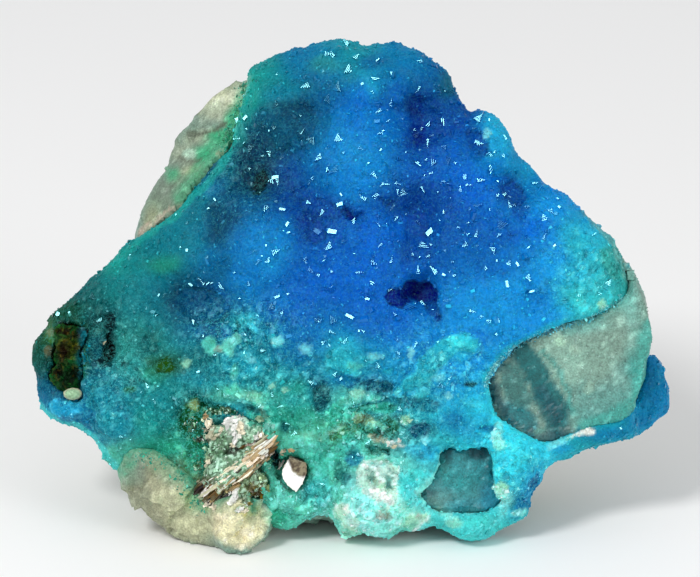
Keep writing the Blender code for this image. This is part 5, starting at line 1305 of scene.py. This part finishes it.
# ---------------------------------------------------------------- the druse


def druse_rise(face):
    lump, _ = grain_distance(face, 0.6, 45)
    near, _ = grain_distance(face, 0.3, 5)
    fine, _ = grain_distance(face, 0.15, 15)
    crumb, value = grain_distance(face, 0.45, 25)
    crumbs = crumbliness(face) * (0.24 * (0.7 - crumb) + 0.1 * value)
    grains = 0.08 + 0.1 * (0.6 - lump) + 0.04 * (0.6 - near) + 0.03 * (0.6 - fine)
    return grains + crumbs + patch_rise(face, CRUST_PATCHES)


def druse_mesh(name, skin, template, rng, kind, shows_lace):
    """Crystals strewn over the crust, of one of its two kinds."""
    feet, frames, sizes = strewn(skin, kind, rng, on_the_front)
    face = to_face(feet)
    colours = varied_with_painted_sparkle(crust_colour(face), face, rng, kind["painted_sparkle_share"])
    crumbly = crumbliness(face) if shows_lace else 0.0
    return crystals_mesh(name, template, feet, frames, sizes, colours, crumbly)


def make_crust():
    skin = fine_copy("turquoise_crust", "crust_skin")
    face = raised(skin, druse_rise, 0.5)
    store_colours(skin.data, crust_colour(face), crumbliness(face))
    druse = piece_material("druse")
    finish_piece(skin, druse, ["turquoise_crust"])
    roof, block = crystal_templates()
    rng = np.random.default_rng(SEEDS["druse"])
    for part in range(FINE_PIECES):
        mesh = druse_mesh("fine_druse", skin, roof, rng, FINE_DRUSE, True)
        finish_piece(new_object(f"fine_druse_{part + 1}", mesh), druse)
    facets = piece_material("clear_crystals")
    mesh = druse_mesh("coarse_druse", skin, block, rng, COARSE_DRUSE, False)
    finish_piece(new_object("coarse_druse", mesh), facets)
    make_glints(skin, block, facets)
    return skin


def glint_direction():
    """Which way a flat crystal end faces, in the part's frame, to send the key light to the camera."""
    to_light = unit(np.subtract(KEY_LIGHT[0], LIGHT_TARGET))
    to_viewer = LEAN @ np.array([0, 0, 1.0])
    return unit(to_light + to_viewer)


class FrontCaster:
    """Finds places on a set of objects by looking straight at the face."""

    def __init__(self, objects):
        graph = bpy.context.evaluated_depsgraph_get()
        self.trees = [BVHTree.FromObject(obj, graph) for obj in objects]
        self.down = Vector(LEAN @ np.array([0, 0, -1.0]))

    def hit(self, x, y):
        """The nearest surface there, as its place and normal in the part's frame, or None."""
        start = Vector(to_world(np.array([[x, y, 20.0]]))[0])
        found = [tree.ray_cast(start, self.down) for tree in self.trees]
        found = [(foot, normal, away) for foot, normal, _, away in found if foot is not None]
        if not found:
            return None
        foot, normal, _ = min(found, key=lambda item: item[2])
        return np.array(foot), np.array(normal)


def glint_groups(rng):
    """Where bright faces are, and the scale of each: the chosen places, then loose ones."""
    groups = [(x, y, rng.uniform(*GROUPED_SCALES)) for x, y in GLINT_GROUPS]
    heart_x, heart_y, across, up = BLUE_HEART
    while len(groups) < len(GLINT_GROUPS) + LOOSE_GLINTS:
        x, y = rng.uniform(-12, 12), rng.uniform(1, 20)
        blue = math.exp(-(((x - heart_x) / across) ** 2 + ((y - heart_y) / up) ** 2))
        if rng.random() < 0.15 + 0.85 * blue:
            groups.append((x, y, rng.uniform(*LOOSE_SCALES)))
    return groups


def glint_slivers(rng, scale):
    """The slivers of one bright crystal face: x, y, length and width of each, about its middle.

    Some faces are plain, and some are striated and narrow to a point.
    """
    length = rng.uniform(0.18, 0.36) * scale
    if rng.random() < 0.35:
        return [(0.0, 0.0, length * 0.8, length * rng.uniform(0.25, 0.65))]
    count = rng.integers(2, 6)
    pitch = rng.uniform(0.055, 0.075)
    lean = rng.uniform(-0.5, 0.5)
    slivers = []
    for k in range(count):
        x, y = lean * length * k / count, (k - count / 2) * pitch
        slivers.append((x, y, length * (1 - k / count), pitch * rng.uniform(0.5, 0.8)))
    return slivers


def make_glints(skin, template, material):
    """Larger crystals whose bright ends all face nearly the same way."""
    rng = np.random.default_rng(SEEDS["glints"])
    caster = FrontCaster([skin])
    feet, frames, sizes = [], [], []
    for x, y, scale in glint_groups(rng):
        facing = unit(glint_direction() + rng.normal(0, GLINT_TILT, 3))
        spin = rng.uniform(0, math.tau)
        side = unit(np.cross(facing, LEAN @ (math.cos(spin), math.sin(spin), 0.2)))
        up = np.cross(facing, side)
        across, along = side @ LEAN, up @ LEAN
        for slide, step, length, width in glint_slivers(rng, scale):
            found = caster.hit(*((x, y) + slide * across[:2] + step * along[:2]))
            if found is None:
                continue
            feet.append(found[0] - facing * GLINT_SUNK * MM)
            frames.append(np.stack([side, up, facing], axis=1))
            sizes.append((length, width, rng.uniform(*GLINT_HEIGHTS)))
    feet, frames, sizes = np.array(feet), np.array(frames), np.array(sizes)
    colours = crust_colour(to_face(feet)) * 1.1
    mesh = crystals_mesh("bright_crystals", flat_ended(template), feet, frames, sizes, colours)
    finish_piece(new_object("bright_crystals", mesh), material)


# ---------------------------------------------------------------- the quartz


def quartz_rise(face):
    """Broken faces of two sizes and a fine grain, calmer on the block, the window and the ledges."""
    fine, value = grain_distance(face, 0.2, 35)
    x, y, z = face.T
    block = past(x, 2.5, 0.5) * past(z, -4.2, 0.8)
    ledges = past(-x, 4.5, 1.0) * past(y, 11.0, 1.5) * past(z, -6.5, 1.0)
    foot = past(-y, -4.0, 1.0) * past(-x, 2.5, 1.0) * past(z, -5.0, 1.0)
    broken = 1.1 * facet_rise(face, 1.5, 0.17, 24) + (1 - 0.75 * foot) * facet_rise(face, 0.5, 0.12, 28)
    return 0.09 + (1 - 0.8 * np.maximum(block, ledges)) * broken + 0.02 * (0.6 - fine) + 0.01 * value


def reach_of(points, obj):
    """How far each point, in the part's frame, is from an object, in millimetres, up to a limit."""
    tree = BVHTree.FromObject(obj, bpy.context.evaluated_depsgraph_get())
    away = np.full(len(points), CRUST_REACH)
    for k, point in enumerate(points):
        distance = tree.find_nearest(Vector(point), CRUST_REACH * MM)[3]
        if distance is not None:
            away[k] = distance / MM
    return away


def crust_tinted(colours, face, away):
    """Quartz with a ragged rim of druse along the crust, and a green stain about its back."""
    ragged = 0.16 * layered_noise(face, 0.4, 98) + 0.12 * layered_noise(face, 0.14, 99)
    behind = past(-face[:, 2], 3.5, 2.0)
    stain = behind * smooth_step(1 - away / CRUST_REACH)
    stain = stain * smooth_step(0.6 + 1.5 * layered_noise(face, 0.7, 96))
    colours = blended(colours, 0.7 * stain, tone("copper_green"))
    # At the left, a thin coat on the ledges above and a wide one on the foot below
    left = past(-face[:, 0], 3.0, 1.0) * (1 - behind)
    thin = left * smooth_step((0.3 + ragged - away) / 0.3)
    colours = blended(colours, 0.7 * thin * past(face[:, 1], 8.0, 2.0), tone("green_coat"))
    wide = left * smooth_step((0.9 + 2.0 * ragged - away) / 0.9)
    below = past(-face[:, 1], -8.0, 2.0)
    colours = blended(colours, 0.6 * wide * below, tone("grain_green"))
    colours = blended(colours, 0.85 * wide**2 * below, tone("sea_green"))
    return blended(colours, 0.8 * (1 - left) * smooth_step((0.12 + ragged - away) / 0.1), tone("lagoon"))


def make_quartz(skin):
    body = fine_copy("quartz_matrix", "quartz_body")
    points = read_vectors(body.data, "co")
    away = reach_of(points, skin)
    x, y, _ = to_face(points).T
    foot = past(-x, 3.0, 1.0) * past(-y, -8.0, 1.0)
    lift = 0.14 * smooth_step(1 - away / 0.4) + 0.16 * foot * smooth_step(1 - away / 0.8)
    face = raised(body, lambda places: quartz_rise(places) + lift)
    store_colours(body.data, crust_tinted(quartz_colour(face), face, away))
    material = piece_material("quartz")
    finish_piece(body, material, ["quartz_matrix"])
    rng = np.random.default_rng(SEEDS["quartz"])
    feet, frames, sizes = strewn(body, QUARTZ_GRAINS, rng, mostly_the_block)
    face = to_face(feet)
    colours = np.clip(quartz_colour(face) * rng.lognormal(0.14, 0.22, (len(feet), 1)), 0, 1)
    colours = crust_tinted(colours, face, reach_of(feet, skin))
    mesh = crystals_mesh("quartz_grains", crystal_templates()[0], feet, frames, sizes, colours)
    finish_piece(new_object("quartz_grains", mesh), material)
    return body


# ---------------------------------------------------------------- sheets and crumbs


def ragged_outline(rng, length, width, corners=16, ragged=0.12):
    """Corners of a long flake with torn ends, counter-clockwise about the origin."""
    angles = np.sort(rng.uniform(0, 0.8, corners) + np.arange(corners)) / corners * math.tau
    reach = 1 + rng.normal(0, ragged, corners)
    square = np.maximum(np.abs(np.cos(angles)), np.abs(np.sin(angles))) ** -0.6
    x = np.cos(angles) * reach * square * length / 2
    y = np.sin(angles) * reach * square * width / 2
    return np.stack([x, y], axis=1)


def axes_from(along, facing):
    facing = unit(facing)
    along = np.asarray(along, float)
    along = unit(along - along.dot(facing) * facing)
    return np.array([along, np.cross(facing, along), facing])


def sheet_parts(outline, axes, centre, thickness, bend=0.0):
    """Points in the face frame and triangles of a thin closed sheet over an outline."""
    count = len(outline)
    rim = np.column_stack([outline, bend * outline[:, 0] ** 2])
    points = []
    for side in (-0.5, 0.5):
        shift = (0, 0, side * thickness)
        points.append(rim + shift)
        points.append(rim.mean(axis=0, keepdims=True) * (1, 1, 0) + shift)
    points = np.concatenate(points) @ axes + centre
    faces = []
    for k in range(count):
        after = (k + 1) % count
        faces.append((after, k, count))
        faces.append((count + 1 + k, count + 1 + after, 2 * count + 1))
        faces.append((k, after, count + 1 + after))
        faces.append((k, count + 1 + after, count + 1 + k))
    return points, np.array(faces)


def piece_from(name, parts, material, replaces=()):
    """One piece from groups of points in the face frame, triangles and colours."""
    points, faces, colours, start = [], [], [], 0
    for group_points, group_faces, group_colours in parts:
        points.append(group_points)
        faces.append(group_faces + start)
        colours.append(group_colours)
        start += len(group_points)
    world = to_world(np.concatenate(points))
    mesh = new_mesh(name, world, np.concatenate(faces), np.concatenate(colours))
    return finish_piece(new_object(name, mesh), material, replaces)


def near_zones(zones, across_spread, up_spread):
    """Gives a function that picks a random place about one of the zones."""

    def place(rng):
        x, y, across, up, _, _ = zones[rng.integers(len(zones))]
        return x + rng.normal(0, across_spread * across), y + rng.normal(0, up_spread * up)

    return place


def near_line(line, spread):
    """Gives a function that picks a random place about a line."""

    def place(rng):
        step, share = rng.integers(len(line) - 1), rng.random()
        return np.add(line[step], share * np.subtract(line[step + 1], line[step])) + rng.normal(0, spread, 2)

    return place


def crumb_parts(rng, caster, place, colour, count, size):
    """Irregular crumbs with flat faces, scattered where place() puts them."""
    corners, faces = crystal_templates()[0]
    feet = []
    while len(feet) < count:
        found = caster.hit(*place(rng))
        if found is not None:
            feet.append(found[0])
    feet = to_face(np.array(feet))
    parts = []
    for foot, tint in zip(feet, colour(feet)):
        shape = corners * (1 + rng.normal(0, 0.3, corners.shape)) - (0, 0, 0.4)
        axes = axes_from(rng.normal(0, 1, 3), rng.normal(0, 1, 3))
        scales = rng.lognormal(math.log(size), 0.4) * rng.uniform((0.6, 0.4, 0.15), (1.8, 1.1, 0.5))
        points = shape * scales @ axes + foot
        tint = np.clip(tint * rng.lognormal(0, 0.4), 0, 1)
        parts.append((points, faces, np.tile(tint, (len(points), 1))))
    return parts


# ---------------------------------------------------------------- loose druse along the crust's edges


def seam_parts(rng, caster, name, spread, count, size, line):
    def colour(points):
        return blended(crust_colour(points), np.full(len(points), 0.7), tone(name))

    return crumb_parts(rng, caster, near_line(line, spread), colour, count, size)


def make_seams(skin, body):
    rng = np.random.default_rng(SEEDS["seams"])
    caster = FrontCaster([skin, body])
    parts = []
    for seam in SEAMS:
        parts += seam_parts(rng, caster, *seam)
    piece_from("seam_druse", parts, bpy.data.materials["druse"])


# ---------------------------------------------------------------- the mica


def streaked(points, axes, colour, rng):
    """The colour with fine streaks along the leaf."""
    local = points @ axes.T * (0.6, 6.0, 6.0)
    streak = 1 + 0.35 * layered_noise(local, 0.6, int(rng.integers(900)))
    return np.clip(colour * streak[:, None], 0, 1)


def book_leaves(rng):
    """Thin torn leaves side by side across the book, bright in its middle and brown at its edges."""
    foot, tip = np.array((*BOOK_FOOT, 0.0)), np.array((*BOOK_TIP, 0.0))
    along = unit(tip - foot)
    across = np.array((along[1], -along[0], 0.0))
    reach = np.linalg.norm(tip - foot)
    parts = []
    for _ in range(BOOK_LEAVES):
        share = rng.uniform(0.03, 0.97)
        half = np.interp(share, (0, 0.5, 1), BOOK_HALF_WIDTHS)
        side = rng.uniform(-1, 1)
        length = rng.uniform(0.35, 1.0)
        centre = foot + along * reach * share + across * half * side
        centre[2] = -0.22 + 0.4 * (1 - side**2) * (1 - 0.3 * share) + rng.normal(0, 0.04)
        facing = across * rng.choice((1, 1, -0.4)) + np.array((0, 0, BOOK_LEAN)) + rng.normal(0, 0.15, 3)
        axes = axes_from(along + rng.normal(0, 0.1, 3), facing)
        outline = ragged_outline(rng, length, rng.uniform(0.1, 0.26), 12, 0.16)
        thickness, bend = rng.uniform(0.03, 0.07), rng.uniform(-0.05, 0.05)
        points, faces = sheet_parts(outline, axes, centre, thickness, bend)
        brown = 0.7 * abs(side + 0.15) ** 1.5 + 0.2 * (share > 0.65) + 0.5 * (share < 0.2)
        names = BOOK_DARK if rng.random() < brown else BOOK_BRIGHT
        colour = tone(names[rng.integers(len(names))])
        parts.append((points, faces, streaked(points, axes, colour, rng)))
    return parts


def chip_parts(rng, caster):
    """Loose chips, each a little heap of torn shards."""
    parts = []
    for x, y, turn, length, width, name in MICA_CHIPS:
        found = caster.hit(x, y)
        if found is None:
            continue
        foot = to_face(found[0][None])[0]
        facing = unit(found[1] @ LEAN + (0, 0, 1.0) + rng.normal(0, 0.25, 3))
        along = (math.cos(math.radians(turn)), math.sin(math.radians(turn)), 0)
        across = np.array((-along[1], along[0], 0))
        for _ in range(SHARDS):
            axes = axes_from(along + rng.normal(0, 0.3, 3), facing + rng.normal(0, 0.3, 3))
            size = rng.uniform(0.35, 0.8)
            outline = ragged_outline(rng, length * size, width * size, 5, 0.25)
            centre = foot + np.multiply(along, rng.normal(0, 0.22 * length))
            centre = centre + across * rng.normal(0, 0.24 * width)
            centre += facing * rng.uniform(0.02, 0.14)
            points, faces = sheet_parts(outline, axes, centre, rng.uniform(0.02, 0.06))
            colour = np.clip(tone(name) * rng.uniform(0.6, 1.1), 0, 1)
            parts.append((points, faces, np.tile(colour, (len(points), 1))))
    return parts


def mica_rock_colour(points):
    """The crumbly ground about the mica, green and pale, brown in its clefts."""
    _, value = grain_distance(points, 0.1, 41)
    colours = zoned(plain(points, "grey_green"), warped(points, 0.5, 0.15, 43), MICA_ZONES)
    colours = colours * (1 + 0.55 * value)[:, None]
    return np.clip(blended(colours, 0.7 * smooth_step((value - 0.35) * 5), tone("pale_mint")), 0, 1)


def mica_rise(face):
    near, value = grain_distance(face, 0.16, 41)
    return 0.02 + 0.07 * (0.6 - near) + 0.03 * value


def make_mica(skin, body):
    rng = np.random.default_rng(SEEDS["mica"])
    material = piece_material("mica")
    mass = dressed("mica_book", "mica_mass", mica_rise, mica_rock_colour, material)
    caster = FrontCaster([skin, body, mass])
    piece_from("mica_leaves", book_leaves(rng), material)
    piece_from("mica_chips", chip_parts(rng, caster), material)
    place = near_zones(MICA_ZONES, 0.38, 0.38)
    crumbs = crumb_parts(rng, caster, place, mica_rock_colour, *MICA_CRUMBS)
    piece_from("mica_crumbs", crumbs, material)


# ---------------------------------------------------------------- the silver flake


def flake_colour(points):
    """White below and to the left, partly the flake's own pale colour and partly painted reflection, with a
    mottled brown patch in the upper right.
    """
    _, value = grain_distance(points, 0.09, 61)
    streak = smooth_step(0.45 + 1.2 * value + (points[:, 0] + 2.1) * 1.2)
    mottled = blended(plain(points, "coffee"), streak, tone("grey_brown"))
    colours = plain(points, "white") * (1 + 0.05 * value)[:, None]
    weight = smooth_step(0.5 + patch_depth(points, FLAKE_STAIN) / 0.08)
    return np.clip(blended(colours, weight, mottled), 0, 1)


def ringed_sheet(outline, axes, centre, thickness, rings=9):
    """A thin closed sheet whose top has rings of points for its colours."""
    count = len(outline)
    half = thickness / 2
    shares = np.linspace(1, 0, rings + 1)[:-1]
    top = [np.column_stack([outline * share, np.full(count, half)]) for share in shares]
    under_side = np.column_stack([outline, np.full(count, -half)])
    points = np.concatenate([*top, [(0, 0, half)], under_side, [(0, 0, -half)]])
    tip, under, back = rings * count, rings * count + 1, rings * count + 1 + count
    faces = []
    for k in range(count):
        after = (k + 1) % count
        for ring in range(rings - 1):
            a, b = ring * count + k, ring * count + after
            faces += [(a, b, b + count), (a, b + count, a + count)]
        faces.append(((rings - 1) * count + k, (rings - 1) * count + after, tip))
        faces.append((under + after, under + k, back))
        faces += [(under + k, under + after, after), (under + k, after, k)]
    return points @ axes + centre, np.array(faces)


def densified(outline, rng):
    """The flake's outline with more points along it, moved about a little, the other way round."""
    made = []
    for (ax, ay), (bx, by) in zip(outline, outline[1:] + outline[:1]):
        count = max(1, round(math.hypot(bx - ax, by - ay) / FLAKE_EDGE_STEP))
        for k in range(count):
            made.append((ax + (bx - ax) * k / count, ay + (by - ay) * k / count))
    made = np.array(made) + rng.normal(0, FLAKE_EDGE_JITTER, (len(made), 2))
    return made[::-1]


def make_flake():
    """A stack of sheets, dull under the last one, whose white is partly painted reflection."""
    rng = np.random.default_rng(SEEDS["flake"])
    middle = np.mean(FLAKE_OUTLINE, axis=0)
    tilt = math.radians(FLAKE_TILT_DEG)
    axes = axes_from((1, 0, 0), [math.sin(tilt), 0, math.cos(tilt)])
    parts = []
    for k in range(FLAKE_SHEETS):
        share = k / (FLAKE_SHEETS - 1)
        last = k == FLAKE_SHEETS - 1
        outline = densified(FLAKE_OUTLINE, rng) - middle
        outline = outline * (1.0 if last else rng.uniform(0.9, 0.99))
        shift = 0 if last else rng.normal(0, 0.03)
        depth = FLAKE_BASE + (FLAKE_TOP - FLAKE_BASE) * share
        centre = (*middle, depth) + axes[1] * shift
        points, faces = ringed_sheet(outline, axes, centre, FLAKE_SHEET_THICKNESS)
        if last:
            colours = flake_colour(points)
        else:
            colours = plain(points, "bone") * rng.uniform(0.55, 1.0)
        parts.append((points, faces, colours))
    piece_from("flake_sheets", parts, piece_material("mica"), ["mica_flake"])


# ---------------------------------------------------------------- limonite and the pale grain


def limonite_colour(points):
    """Near black with brown, teal along its right side, and a few rusty grains."""
    _, value = grain_distance(points, 0.12, 71)
    colours = zoned(plain(points, "deep_forest"), warped(points, 0.5, 0.3, 73), LIMONITE_ZONES)
    colours = blended(colours, 0.8 * past(points[:, 0], -11.0, 0.3), tone("teal"))
    streaks = smooth_step(0.5 + 3 * layered_noise(points, 0.25, 75))
    colours = blended(colours, 0.15 * streaks * smooth_step((value - 0.3) * 3), tone("rust_gold"))
    return np.clip(colours * (1 + 0.45 * value)[:, None], 0, 1)


def limonite_rise(face):
    near, value = grain_distance(face, 0.2, 71)
    return 0.02 + 0.12 * (0.6 - near) + 0.05 * value


def make_limonite(skin):
    rng = np.random.default_rng(SEEDS["limonite"])
    material = piece_material("limonite")
    mass = dressed("limonite_patch", "limonite_mass", limonite_rise, limonite_colour, material)
    caster = FrontCaster([skin, mass])
    place = near_zones(LIMONITE_ZONES, 0.55, 0.5)
    crumbs = crumb_parts(rng, caster, place, limonite_colour, *LIMONITE_CRUMBS)
    piece_from("limonite_crumbs", crumbs, material)


def grain_rise(face):
    return 0.02 * layered_noise(face, 0.2, 79)


def grain_colour(points):
    rim = smooth_step((zone_distance(points, -11.15, 6.3, 0.4, 0.26) - 0.6) * 3)
    colours = blended(plain(points, "grain_green"), 0.7 * rim, tone("bone"))
    return np.clip(colours * (1 + 0.25 * layered_noise(points, 0.15, 77))[:, None], 0, 1)


# ---------------------------------------------------------------- the stage


def make_stage():
    bm = bmesh.new()
    bmesh.ops.create_grid(bm, x_segments=1, y_segments=1, size=1.5)
    mesh = bpy.data.meshes.new("floor")
    bm.to_mesh(mesh)
    bm.free()
    floor = new_object("floor", mesh)
    floor.location.z = cad_box[0][2] - 0.02 * MM
    material, tree, shader = new_material("pale_floor")
    set_inputs(tree, shader, {"Base Color": (0.92, 0.91, 0.9, 1), "Roughness": 0.7})
    mesh.materials.append(material)


def add_area_light(name, place, size, power):
    light = bpy.data.lights.new(name, "AREA")
    light.shape = "DISK"
    light.size = size * MM
    light.energy = power
    obj = new_object(name, light)
    place, target = Vector(place) * MM, Vector(LIGHT_TARGET) * MM
    obj.location = place
    obj.rotation_euler = (target - place).to_track_quat("-Z", "Y").to_euler()


def make_lights():
    world = bpy.data.worlds.new("studio")
    bpy.context.scene.world = world
    world.use_nodes = True
    background = world.node_tree.nodes["Background"]
    background.inputs["Color"].default_value = (0.96, 0.98, 1.0, 1)
    background.inputs["Strength"].default_value = WORLD_STRENGTH
    add_area_light("key", *KEY_LIGHT)
    add_area_light("fill", *FILL_LIGHT)


def make_camera():
    camera = bpy.data.cameras.new("camera")
    camera.sensor_width = SENSOR_WIDTH
    camera.lens = SENSOR_WIDTH * CAMERA_DISTANCE / VIEW_WIDTH
    camera.clip_start = 0.01
    camera.clip_end = 10.0
    obj = new_object("camera", camera)
    place = face_matrix() @ Vector((*CAMERA_TARGET, CAMERA_DISTANCE))
    obj.matrix_world = Matrix.Translation(place) @ lean_matrix()
    bpy.context.scene.camera = obj


bpy.context.scene.view_settings.view_transform = "Standard"
crust_skin = make_crust()
quartz_body = make_quartz(crust_skin)
make_seams(crust_skin, quartz_body)
make_mica(crust_skin, quartz_body)
make_flake()
make_limonite(crust_skin)
dressed("quartz_grain", "pale_grain", grain_rise, grain_colour, piece_material("quartz"))
make_stage()
make_lights()
make_camera()
